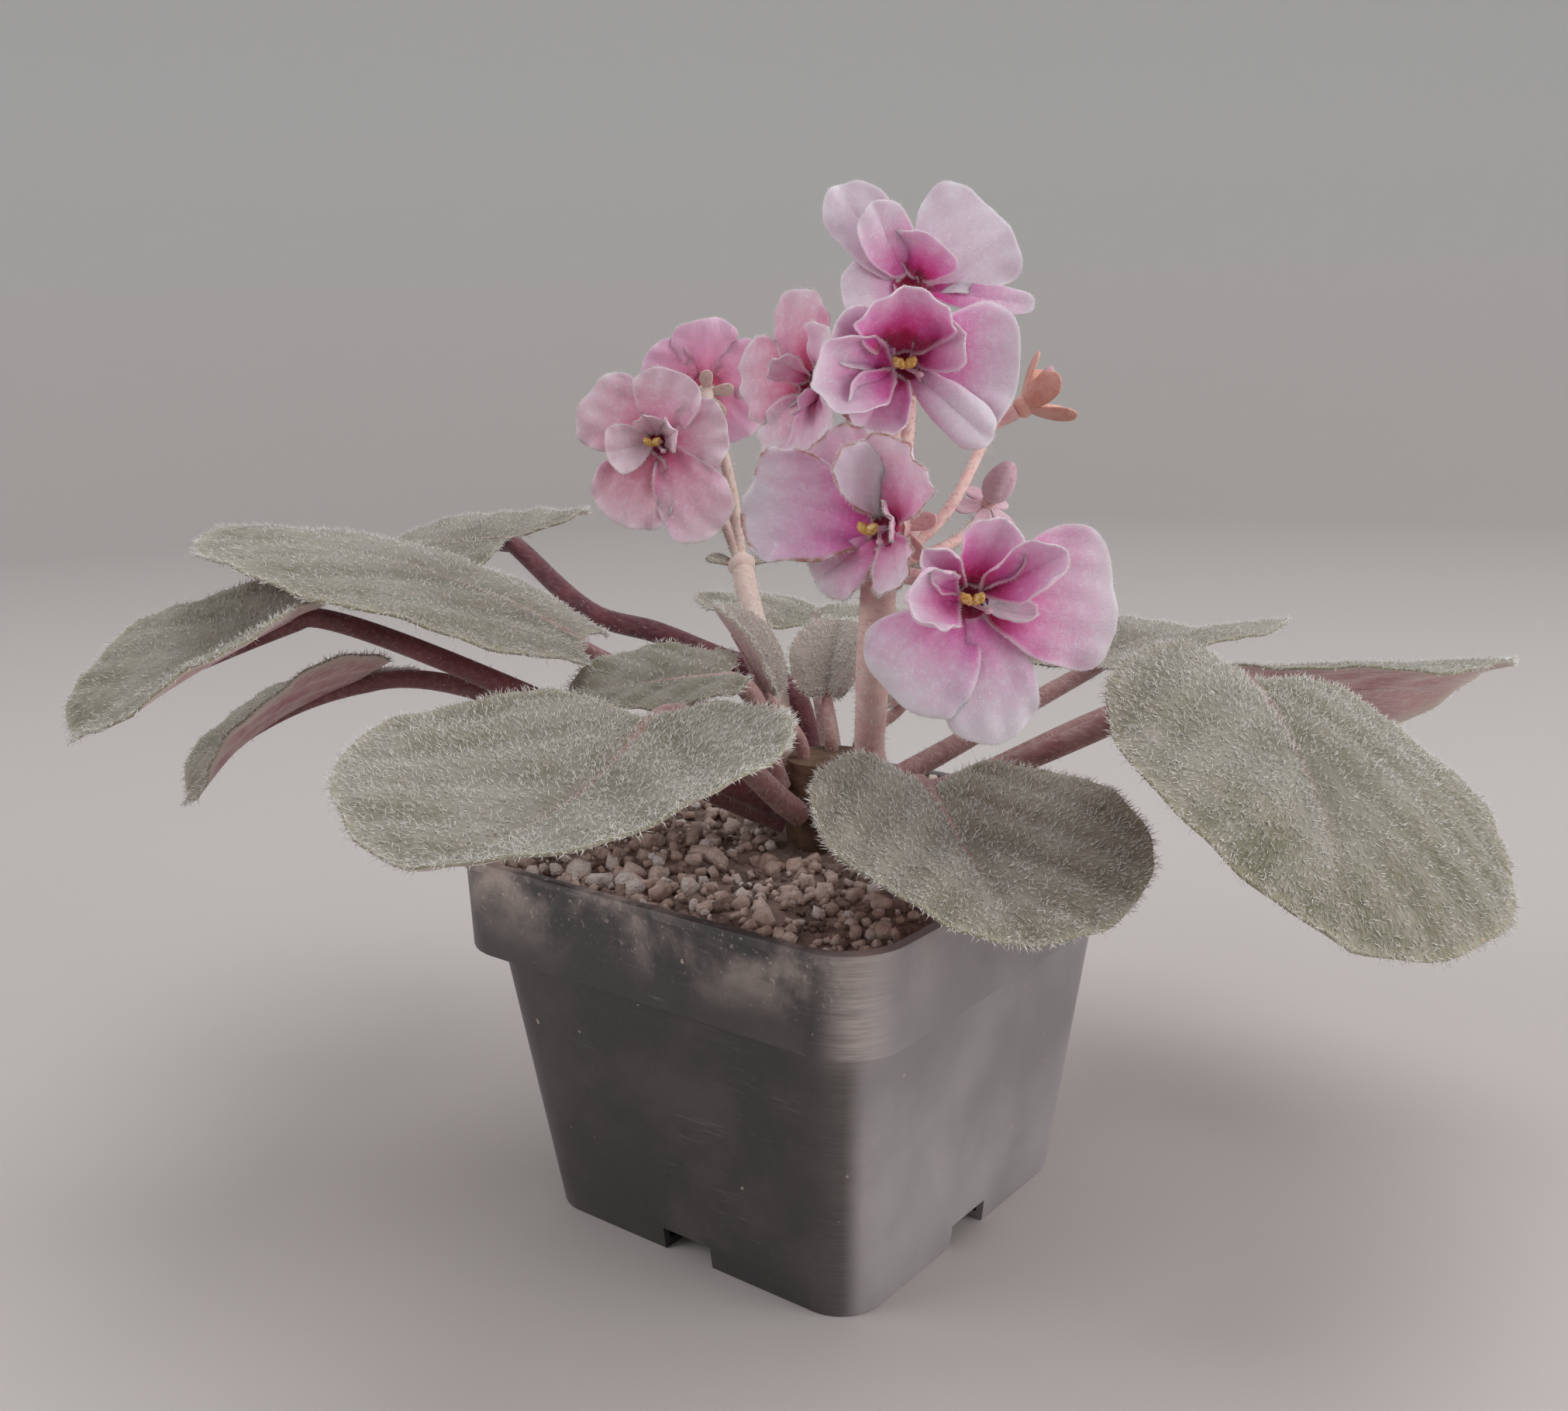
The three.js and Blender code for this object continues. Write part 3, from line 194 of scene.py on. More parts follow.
THROAT = 2.3  # the radius of a bloom's tube
ANTHER = dict(forward=0.9, apart=0.74, size=(0.84, 0.8, 0.7), lean=0.3, seam_depth=0.2, seam_width=0.25)
SEPAL = dict(length=4.4, width=1.15, neck=0.6, spread=112, count=5, bend=(-16, 8, 10, 0), thickness=0.5,
             ruffle=0.05, rings=8, spokes=20)

# A flower stalk rises from its root on the crown through its run to the fork, where its branches leave by way of
# their own points, each with its radius.
STALKS = [
    dict(name="flower_stalk_front", root=(-16, 66.5, 40), radius=(2.1, 2.35), grey=0.0,
         run=[(14.4, -2.6, 74), (18.3, -7.7, 80.5), (22.4, -13.2, 87.5), (25.6, -16.9, 95), (26.7, -17.5, 101.7)],
         branches=[
             ("bloom_low_right", [(33.5, -17.5, 101.5)], 1.1),
             ("bloom_low_left", [(28.2, -15.6, 104.6)], 1.1),
             ("bloom_middle", [(25.6, -12.2, 109.5), (22.6, -8.8, 117.5)], 1.35),
             ("bloom_top", [(24, -8.5, 112), (18.4, 2, 124)], 1),
             ("bloom_side", [(24, -11.5, 109), (13, -3, 118)], 1),
             ("spent_calyx", [(31, -9, 108.5), (30.5, 1, 116.5)], 0.75),
             ("bud", [(31.5, -10, 104.5)], 0.75)]),
    dict(name="flower_stalk_back", root=(176, 66.5, 60), radius=(1.7, 1.9), grey=0.65,
         run=[(-9, 6.2, 75), (-15.6, 11.8, 80.6), (-22.6, 17, 87), (-28.6, 22, 93.4)],
         branches=[
             ("bloom_left", [(-35, 23.5, 103)], 1),
             ("bloom_left_back", [(-33, 25.5, 104), (-37.5, 28, 113)], 1)]),
]
# The knot at a stalk's fork, and its two bracts
NODE = dict(swell=1.25, heading=-52, rise=75, bract_turns=(165, 375), bract=(70, 5, 1.9, 20, 10, 10, 0),
            bract_hairs=160)
STEM_HAIRS = dict(stalk=14, branch=9)  # to a millimetre
STEM_STEPS = dict(stalk=50, branch=30)
SPENT = dict(name="spent_calyx", at=(32.3, 8.9, 121.4), heading=40, rise=30, pod=1.5, spread=50,
             length=7.2, width=1.9, remnant=(90, 34, 6.4, 2.5, -24, 40, 60, 0))
BUD = dict(name="bud", at=(29.6, 7.6, 111.3), heading=-20, rise=50, radius=2.1, length=3.6)

# The camera's place and axes, as solved from the pot in the photograph
CAMERA = dict(at=(144.905, -188.881, 134.208), forward=(-0.600, 0.766, -0.232), up=(-0.126, 0.196, 0.973),
              lens=37.63, sensor=36)

# The stage and its lights, in metres and watts
STAGE = dict(radius=0.9, curve=0.6, wall=0.7, steps=12)
LIGHTS = [
    dict(name="side", at=(0.95, 0.25, 0.35), size=0.9, power=6.7, colour=(1.0, 0.99, 0.98)),
    dict(name="fill", at=(-0.6, -0.75, 0.6), size=0.8, power=4.2, colour=(0.98, 0.99, 1.0)),
    dict(name="top", at=(0.1, 0.2, 1.1), size=0.9, power=4.6, colour=(1.0, 1.0, 1.0)),
]
LIGHTS_AIM = (0.0, 0.0, 0.09)
SKY = dict(colour=(0.8, 0.82, 0.84, 1), strength=0.45)


# Directions and blades, by the same rules as the solids

def unit(v):
    return v / np.linalg.norm(v, axis=-1, keepdims=True)


def heading(azimuth, rise):
    a, e = math.radians(azimuth), math.radians(rise)
    return np.array([math.cos(a) * math.cos(e), math.sin(a) * math.cos(e), math.sin(e)])


def tilted(along, across, roll):
    r = math.radians(roll)
    rolled = across * math.cos(r) + np.cross(along, across) * math.sin(r)
    return dict(along=along, across=rolled, normal=np.cross(along, rolled))


def off_zero(value):
    return np.where(np.abs(value) < 1e-4, 1e-4, value)


def bend(form, x, y):
    """The points x along a blade's midrib and y to its left, drooping, folded, arched and twisted."""
    x, y = np.broadcast_arrays(np.asarray(x, float), np.asarray(y, float))
    k = off_zero(math.radians(form["droop"])) / form["length"]
    run = np.maximum(x, 0)
    width, fold, arch = (np.where(y >= 0, a, b) for a, b in zip(form["left"], form["right"]))
    fold, curl = np.radians(fold), off_zero(np.radians(arch)) / width
    end = fold - curl * np.abs(y)
    out = np.sign(y) * (np.sin(fold) - np.sin(end)) / curl
    lift = (np.cos(end) - np.cos(fold)) / curl
    twist = math.radians(form["twist"]) * x / form["length"]
    s = out * np.cos(twist) - lift * np.sin(twist)
    n = out * np.sin(twist) + lift * np.cos(twist)
    a = np.sin(k * run) / k + np.minimum(x, 0) + n * np.sin(k * run)
    d = n * np.cos(k * run) - (1 - np.cos(k * run)) / k
    return (form["start"] + a[..., None] * form["along"] + s[..., None] * form["across"]
            + d[..., None] * form["normal"])


def normals(form, x, y):
    e = 0.02
    along = bend(form, x + e, y) - bend(form, x - e, y)
    across = bend(form, x, y + e) - bend(form, x, y - e)
    return unit(np.cross(along, across))


def leaf_form(leaf):
    a = math.radians(leaf["heading"])
    across = np.array([-math.sin(a), math.cos(a), 0])
    return {**leaf, **tilted(heading(leaf["heading"], leaf["rise"]), across, leaf["roll"]),
            "start": np.array(leaf["base"], float)}


def heart(leaf, ring, turn):
    """Leaf coordinates of a heart shape: two lobes that reach back past the notch, and a blunt point."""
    a, b = np.cos(turn), np.sin(turn)
    middle = LEAF_MIDDLE * leaf["length"]
    reach = np.where(a >= 0, leaf["length"] - middle, middle + leaf["lobe"])
    width = np.where(b >= 0, leaf["left"][0], leaf["right"][0])
    notch = np.exp(-((math.pi - np.abs(np.arctan2(b, a))) / 0.3) ** 2)
    x = middle + reach * a + leaf["point"] * np.maximum(a, 0) ** 8 + leaf["lobe"] * notch
    y = width * b * (1 + 0.06 * a)
    return middle + ring * (x - middle), ring * y


def quilting(leaf, x, y):
    """1 on the cushions between the side veins and 0 in the veins."""
    u, v = x / leaf["length"], np.abs(y) / leaf["length"]
    return 0.5 - 0.5 * np.cos(FULL_TURN * VEINS["count"] * (u - VEINS["sweep"] * v - VEINS["curve"] * v * v))


def leaf_surface(leaf, form, sizes, index, ring, turn):
    """Points, normals and leaf coordinates on the middle of a leaf's blade."""
    teeth = 1 + 0.006 * ring ** 8 * np.sin(2 * sizes["waves"] * turn + index)
    x, y = heart(leaf, ring * teeth, turn)
    wave = sizes["wave"] * ring ** 4 * np.sin(sizes["waves"] * turn + index)
    frill = 0.3 * sizes["wave"] * ring ** 6 * np.sin(3 * sizes["waves"] * turn + 2 * index)
    inside = 1 - ring ** 8
    cushion = sizes["quilt"] * (2 * quilting(leaf, x, y) - 1) * inside * (1 - np.exp(-(y / 3) ** 2))
    groove = 1.6 * sizes["quilt"] * np.exp(-(y / 1.6) ** 2) * inside
    n = normals(form, x, y)
    points = bend(form, x, y) + n * (wave + frill + cushion - groove)[..., None]
    return points, n, x, y


def bloom_axes(one):
    out = heading(one["heading"], one["rise"])
    right = unit(np.cross(UP, out))
    return dict(out=out, right=right, up=np.cross(out, right))


def petal_form(petal, centre, axes, neck):
    turn, opening, length, width, droop, fold, arch, roll = petal
    t, o = math.radians(turn), math.radians(opening)
    radial = axes["right"] * math.cos(t) + axes["up"] * math.sin(t)
    along = radial * math.sin(o) + axes["out"] * math.cos(o)
    face = axes["out"] * math.sin(o) - radial * math.cos(o)
    half = (width, fold, arch)
    return {**tilted(along, np.cross(face, along), roll), "start": centre + radial * neck, "length": length,
            "droop": droop, "twist": 0, "left": half, "right": half}


def catmull(points, steps):
    """The smooth curve that the solids' stems follow, through all the points."""
    p = [np.array(q, float) for q in points]
    p = [2 * p[0] - p[1], *p, 2 * p[-1] - p[-2]]
    spans = len(points) - 1
    path = []
    for i in range(steps + 1):
        k = min(int(spans * i / steps), spans - 1)
        t = spans * i / steps - k
        p0, p1, p2, p3 = p[k:k + 4]
        d0, d1, d2 = (max(np.linalg.norm(b - a) ** 0.5, 1e-4) for a, b in ((p0, p1), (p1, p2), (p2, p3)))
        t1 = ((p1 - p0) / d0 - (p2 - p0) / (d0 + d1) + (p2 - p1) / d1) * d1
        t2 = ((p2 - p1) / d1 - (p3 - p1) / (d1 + d2) + (p3 - p2) / d2) * d1
        path.append(p1 + t * t1 + t * t * (3 * (p2 - p1) - 2 * t1 - t2) + t ** 3 * (2 * (p1 - p2) + t1 + t2))
    return path


def bezier(points, steps):
    a, b, c, d = (np.array(q, float) for q in points)
    return [(1 - t) ** 3 * a + 3 * (1 - t) ** 2 * t * b + 3 * (1 - t) * t * t * c + t ** 3 * d
            for t in (i / steps for i in range(steps + 1))]


def rooted(path):
    """The path with its foot sunk into what carries it."""
    return [path[0] - ROOT_DEPTH * unit(path[1] - path[0]), *path[1:]]


# Making meshes

def coordinates(mesh):
    points = np.empty(3 * len(mesh.vertices))
    mesh.vertices.foreach_get("co", points)
    return points.reshape(-1, 3)


def move_vertices(mesh, points):
    mesh.vertices.foreach_set("co", np.ascontiguousarray(points * MM, dtype=np.float32).ravel())
    mesh.update()


def note(mesh, name, values):
    """Keeps one number for each vertex, for the material to read."""
    kept = mesh.attributes.new(name, "FLOAT", "POINT")
    kept.data.foreach_set("value", np.ascontiguousarray(np.broadcast_to(values, len(mesh.vertices)), np.float32))


def new_piece(name):
    """The primitive that was just added, with its name."""
    piece = bpy.context.object
    piece.name = piece.data.name = name
    return piece


def start_edit():
    bpy.ops.object.mode_set(mode="EDIT")
    bpy.ops.mesh.select_all(action="SELECT")


def merge_doubles():
    bpy.ops.mesh.remove_doubles(threshold=SAME_POINT)


def face_outwards():
    bpy.ops.mesh.select_all(action="SELECT")
    bpy.ops.mesh.normals_make_consistent(inside=False)


def end_edit():
    face_outwards()
    bpy.ops.object.mode_set(mode="OBJECT")


def edit(*steps):
    """Runs edit-mode steps on all of the active piece."""
    start_edit()
    for step in steps:
        step()
    bpy.ops.object.mode_set(mode="OBJECT")


def draw_up(rings, size, height, centre=(0, 0)):
    """Extrudes the selected outline from its size and height to each ring's in turn, in millimetres."""
    for next_size, next_height in rings:
        bpy.ops.mesh.extrude_region_move(TRANSFORM_OT_translate={"value": (0, 0, (next_height - height) * MM)})
        scale = next_size / size
        bpy.ops.transform.resize(value=(scale, scale, 1), center_override=(centre[0] * MM, centre[1] * MM, 0))
        size, height = next_size, next_height


def apply_modifier(piece, kind, **settings):
    modifier = piece.modifiers.new(kind.title(), kind)
    for key, value in settings.items():
        setattr(modifier, key, value)
    bpy.ops.object.modifier_apply(modifier=modifier.name)


def round_sheet(name, rings, spokes, surface, thickness, skins, gather=0):
    """A closed sheet: a grid is rolled up round its middle point, then given a thickness that thins to a soft rim.

    surface takes ring and turn and returns the points and the two blade coordinates that the material reads.
    skins names the materials of the upper and the lower side.
    """
    bpy.ops.mesh.primitive_grid_add(x_subdivisions=spokes, y_subdivisions=rings, size=2)
    piece = new_piece(name)
    mesh = piece.data
    grid = coordinates(mesh)
    ring = (grid[:, 1] + 1) / 2
    even = (1 - grid[:, 0]) * math.pi
    points, u, v = surface(ring, even + gather * np.sin(even))
    move_vertices(mesh, points)
    note(mesh, "rim", ring)
    corner = np.empty(len(mesh.loops), int)
    mesh.loops.foreach_get("vertex_index", corner)
    uv = np.stack([u[corner], v[corner]], axis=1)
    mesh.uv_layers[0].data.foreach_set("uv", uv.astype(np.float32).ravel())
    mesh.uv_layers[0].name = "blade"
    for skin in skins:
        mesh.materials.append(MATERIALS[skin])
    body = piece.vertex_groups.new(name="body")
    for number, share in enumerate(1 - ring ** RIM_POWER):
        body.add([number], float(share), "REPLACE")
    edit(merge_doubles)
    apply_modifier(piece, "SOLIDIFY", thickness=thickness * MM, offset=0, material_offset=1, vertex_group="body",
                   thickness_vertex_group=THIN_RIM)
    piece.vertex_groups.clear()
    apply_modifier(piece, "BEVEL", width=RIM_ROUNDING * THIN_RIM * thickness * MM, segments=2, limit_method="ANGLE",
                   angle_limit=math.radians(60))
    bpy.ops.object.shade_smooth()
    piece.select_set(False)
    return piece


def rod(name, path, radii, skin, sides=12):
    """A round stem along a path in millimetres, with the radii spread evenly over it."""
    curve = bpy.data.curves.new(name, "CURVE")
    curve.dimensions = "3D"
    curve.bevel_depth = MM
    curve.bevel_resolution = sides // 2 - 2
    curve.use_fill_caps = True
    line = curve.splines.new("POLY")
    line.points.add(len(path) - 1)
    shares = np.interp(np.linspace(0, 1, len(path)), np.linspace(0, 1, len(radii)), radii)
    for point, place, radius in zip(line.points, path, shares):
        point.co = (*(place * MM), 1)
        point.radius = radius
    piece = bpy.data.objects.new(name, curve)
    bpy.context.collection.objects.link(piece)
    activate(piece)
    bpy.ops.object.convert(target="MESH")
    edit(merge_doubles, face_outwards)
    bpy.ops.object.shade_smooth_by_angle(angle=math.radians(50))
    piece.data.materials.append(MATERIALS[skin])
    piece.select_set(False)
    return piece


def activate(*pieces):
    bpy.ops.object.select_all(action="DESELECT")
    for piece in pieces:
        piece.select_set(True)
    bpy.context.view_layer.objects.active = pieces[0]


def joined(name, pieces):
    activate(*pieces)
    if len(pieces) > 1:
        bpy.ops.object.join()
    piece = bpy.context.view_layer.objects.active
    piece.name = piece.data.name = name
    piece.select_set(False)
    return piece


def ball(name, centre, radius, skin, scale=(1, 1, 1), subdivisions=3, bumps=0.0, seed=0):
    """A round lump, scaled, with low bumps."""
    bpy.ops.mesh.primitive_ico_sphere_add(subdivisions=subdivisions, radius=1)
    piece = new_piece(name)
    p = coordinates(piece.data)
    swell = 1 + bumps * np.sin(5 * p[:, 0] + seed) * np.cos(4 * p[:, 1] - seed) * np.sin(4.5 * p[:, 2] + 2 * seed)
    move_vertices(piece.data, p * swell[:, None] * radius * np.array(scale) + np.array(centre))
    piece.data.materials.append(MATERIALS[skin])
    bpy.ops.object.shade_smooth()
    piece.select_set(False)
    return piece


def plain_ball(name, skin, **shape):
    """A ball of radius 1 that is still to be formed, and its points."""
    piece = ball(name, (0, 0, 0), 1, skin, **shape)
    return piece, coordinates(piece.data) / MM


def scattered(name, pattern, points, directions, lengths, widths, spin):
    """One mesh with a copy of the pattern's mesh at every point, its Z axis along the direction there."""
    shape = coordinates(pattern.data)
    faces = [tuple(polygon.vertices) for polygon in pattern.data.polygons]
    z = unit(directions)
    helper = np.where(np.abs(z[:, 2:]) > 0.9, [[1.0, 0, 0]], [[0, 0, 1.0]])
    x = unit(np.cross(helper, z))
    y = np.cross(z, x)
    c, s = np.cos(spin)[:, None], np.sin(spin)[:, None]
    x, y = x * c + y * s, y * c - x * s
    copies = (points[:, None] + shape[None, :, :1] * (x * widths[:, None])[:, None]
              + shape[None, :, 1:2] * (y * widths[:, None])[:, None]
              + shape[None, :, 2:] * (z * lengths[:, None])[:, None])
    count, size = len(points), len(shape)
    mesh = bpy.data.meshes.new(name)
    mesh.vertices.add(count * size)
    mesh.vertices.foreach_set("co", (copies * MM).astype(np.float32).ravel())
    one = np.concatenate([np.array(f) for f in faces])
    starts = np.cumsum([0] + [len(f) for f in faces])
    loops = (one[None] + size * np.arange(count)[:, None]).ravel()
    mesh.loops.add(len(loops))
    mesh.loops.foreach_set("vertex_index", loops.astype(np.int32))
    mesh.polygons.add(count * len(faces))
    mesh.polygons.foreach_set("loop_start", (starts[None, :-1] + len(one) * np.arange(count)[:, None])
                              .ravel().astype(np.int32))
    mesh.update(calc_edges=True)
    piece = bpy.data.objects.new(name, mesh)
    bpy.context.collection.objects.link(piece)
    return piece


def hair_pattern():
    """One hair: a three-sided spike 1 long, thinner to its tip."""
    bpy.ops.mesh.primitive_cone_add(vertices=3, radius1=1, radius2=0, depth=1)
    piece = new_piece("hair_pattern")
    edit(lambda: bpy.ops.transform.translate(value=(0, 0, 0.5)))
    piece.select_set(False)
    return piece


def curl_pattern():
    """One longer hair, drawn out from its root in two steps, so that it curls over to one side."""
    bpy.ops.mesh.primitive_circle_add(vertices=3, radius=1, fill_type="NGON")
    piece = new_piece("curl_pattern")
    start_edit()
    for across, up, scale in ((1.5, 0.5, 0.8), (5.5, 0.5, 0.25)):
        bpy.ops.mesh.extrude_region_move(TRANSFORM_OT_translate={"value": (across, 0, up)})
        bpy.ops.transform.resize(value=(scale, scale, 1))
    bpy.ops.mesh.merge(type="CENTER")
    end_edit()
    piece.select_set(False)
    return piece


def chip_pattern():
    """One chip of bark: a block with its edges broken and its corners pushed out of true."""
    bpy.ops.mesh.primitive_cube_add(size=1.7)
    piece = new_piece("chip_pattern")
    apply_modifier(piece, "BEVEL", width=0.32, segments=1, limit_method="NONE")
    askew(piece, 0.13)
    return piece


def crumb_pattern():
    """One crumb of peat or perlite: a low lump whose corners are pushed in and out."""
    bpy.ops.mesh.primitive_uv_sphere_add(segments=6, ring_count=4, radius=1)
    piece = new_piece("crumb_pattern")
    askew(piece, 0.16)
    return piece


def askew(piece, amount):
    """Pushes a pattern's corners in and out by about that share."""
    p = coordinates(piece.data)
    dents = 1 + amount * (np.sin(7 * p[:, 0] + 1) + 0.8 * np.cos(6 * p[:, 1] - 2) + 0.6 * np.sin(8 * p[:, 2]))
    piece.data.vertices.foreach_set("co", (p * dents[:, None]).astype(np.float32).ravel())
    piece.select_set(False)


# Materials

class Shader:
    """Adds nodes to a material or a group, each with its values and links in one call."""

    def __init__(self, tree):
        self.tree = tree

    def add(self, kind, values=(), **settings):
        made = self.tree.nodes.new(kind)
        for key, value in settings.items():
            setattr(made, key, value)
        for key, value in dict(values).items():
            if isinstance(value, bpy.types.NodeSocket):
                self.tree.links.new(value, made.inputs[key])
            else:
                made.inputs[key].default_value = value
        return made

    def math(self, operation, *values, **settings):
        return self.add("ShaderNodeMath", dict(enumerate(values)), operation=operation, **settings).outputs[0]

    def plus(self, a, b, **settings):
        return self.math("ADD", a, b, **settings)

    def times(self, a, b):
        return self.math("MULTIPLY", a, b)

    def swing(self, value, width):
        """A noise as a swing of that width about 0."""
        return self.math("MULTIPLY_ADD", value, width, -width / 2)

    def mix(self, factor, a, b):
        return self.add("ShaderNodeMix", {"Factor": factor, 6: a, 7: b}, data_type="RGBA").outputs[2]

    def span(self, value, low, high, to_low=0.0, to_high=1.0):
        values = {"Value": value, "From Min": low, "From Max": high, "To Min": to_low, "To Max": to_high}
        return self.add("ShaderNodeMapRange", values, interpolation_type="SMOOTHSTEP").outputs[0]

    def noise(self, where, scale, detail, roughness=0.55, distortion=0.0):
        values = {"Vector": where, "Scale": scale, "Detail": detail, "Roughness": roughness, "Distortion": distortion}
        return self.add("ShaderNodeTexNoise", values).outputs["Fac"]

    def parts(self, vector):
        return self.add("ShaderNodeSeparateXYZ", {0: vector}).outputs

    def stretch(self, where, scale):
        return self.add("ShaderNodeMapping", {"Vector": where, "Scale": scale}).outputs[0]

    def place(self):
        return self.add("ShaderNodeTexCoord").outputs["Object"]

    def blade(self):
        return self.add("ShaderNodeUVMap", uv_map="blade").outputs[0]

    def note(self, name):
        return self.add("ShaderNodeAttribute", attribute_name=name).outputs["Fac"]

    def ramp(self, value, stops):
        made = self.add("ShaderNodeValToRGB", {"Fac": value})
        band = made.color_ramp
        while len(band.elements) < len(stops):
            band.elements.new(0.5)
        for element, (place, colour) in zip(band.elements, stops):
            element.position = place
            element.color = (*colour, 1)
        return made.outputs[0]

    def bump(self, height, distance, strength):
        return self.add("ShaderNodeBump", {"Height": height, "Distance": distance, "Strength": strength}).outputs[0]


def group(name, inputs, outputs, build):
    """A shader node group with named inputs (with their usual values) and outputs."""
    tree = bpy.data.node_groups.new(name, "ShaderNodeTree")
    for key, (kind, value) in inputs.items():
        made = tree.interface.new_socket(name=key, in_out="INPUT", socket_type=kind)
        if value is not None:
            made.default_value = value
    for key, kind in outputs.items():
        tree.interface.new_socket(name=key, in_out="OUTPUT", socket_type=kind)
    shader = Shader(tree)
    entry = tree.nodes.new("NodeGroupInput")
    results = build(shader, entry.outputs)
    ending = tree.nodes.new("NodeGroupOutput")
    for key, value in results.items():
        tree.links.new(value, ending.inputs[key])
    return tree


def use(shader, tree, values):
    return shader.add("ShaderNodeGroup", values, node_tree=tree).outputs


def material(name, build, **constants):
    """A Principled material. build returns what goes to its sockets, and constants are set on the sockets."""
    made = bpy.data.materials.new(name)
    made.use_nodes = True
    principled = made.node_tree.nodes["Principled BSDF"]
    sockets = {socket.name.lower().replace(" ", "_"): socket for socket in principled.inputs}
    for key, value in constants.items():
        sockets[key].default_value = value
    for key, value in build(Shader(made.node_tree)).items():
        made.node_tree.links.new(value, principled.inputs[key])
    return made


def two_tone(shader, inputs):
    """Soft patches of a second colour, with a finer grain in them."""
    patches = shader.noise(inputs["Vector"], inputs["Scale"], 3.0)
    fine = shader.noise(inputs["Vector"], shader.times(inputs["Scale"], 9.0), 5.0)
    share = shader.span(shader.plus(patches, shader.times(fine, 0.35)), 0.5, 0.85)
    return {"Color": shader.mix(share, inputs["First"], inputs["Second"])}


def down(shader, inputs):
    """Short pale fuzz, as a mask of fine streaks along the vector's X."""
    long = shader.stretch(inputs["Vector"], (0.28, 1.0, 1.0))
    streaks = shader.noise(long, inputs["Scale"], 2.0, 0.6, 0.4)
    thick = shader.noise(inputs["Vector"], shader.times(inputs["Scale"], 0.12), 3.0)
    amount = shader.plus(streaks, shader.times(thick, 0.4))
    return {"Mask": shader.span(amount, 0.58, 0.92), "Height": streaks}


def wear(shader, inputs):
    """Dust in soft clouds and fine scratches over it."""
    clouds = shader.noise(inputs["Vector"], inputs["Cloud Scale"], 6.0, 0.62, 0.3)
    specks = shader.noise(inputs["Vector"], shader.times(inputs["Cloud Scale"], 22.0), 2.0)
    dust = shader.plus(shader.span(clouds, 0.4, 0.72), shader.span(specks, 0.62, 0.72, 0.0, 0.5),
                       use_clamp=True)
    lines = shader.noise(shader.stretch(inputs["Vector"], (0.06, 0.06, 1.0)), 2800.0, 2.0)
    scuffs = shader.noise(shader.stretch(inputs["Vector"], (1.0, 1.0, 0.07)), 1500.0, 2.0)
    marks = shader.math("MAXIMUM", shader.span(lines, 0.6, 0.74), shader.span(scuffs, 0.7, 0.78, 0.0, 0.7))
    patches = shader.span(shader.noise(inputs["Vector"], 70.0, 3.0), 0.45, 0.65)
    return {"Dust": dust, "Scratches": shader.times(marks, patches)}


VECTOR, NUMBER, COLOUR = "NodeSocketVector", "NodeSocketFloat", "NodeSocketColor"
TWO_TONE = group("two_tone", {"Vector": (VECTOR, None), "Scale": (NUMBER, 100.0),
                              "First": (COLOUR, None), "Second": (COLOUR, None)},
                 {"Color": COLOUR}, two_tone)
DOWN = group("down", {"Vector": (VECTOR, None), "Scale": (NUMBER, 60.0)}, {"Mask": NUMBER, "Height": NUMBER}, down)
WEAR = group("wear", {"Vector": (VECTOR, None), "Cloud Scale": (NUMBER, 40.0)},
             {"Dust": NUMBER, "Scratches": NUMBER}, wear)


def rgb(r, g, b):
    return (r, g, b, 1)


def mottled(shader, where, scale, first, second):
    values = {"Vector": where, "Scale": scale, "First": first, "Second": second}
    return use(shader, TWO_TONE, values)["Color"]


def down_over(shader, where, scale):
    return use(shader, DOWN, {"Vector": where, "Scale": scale})


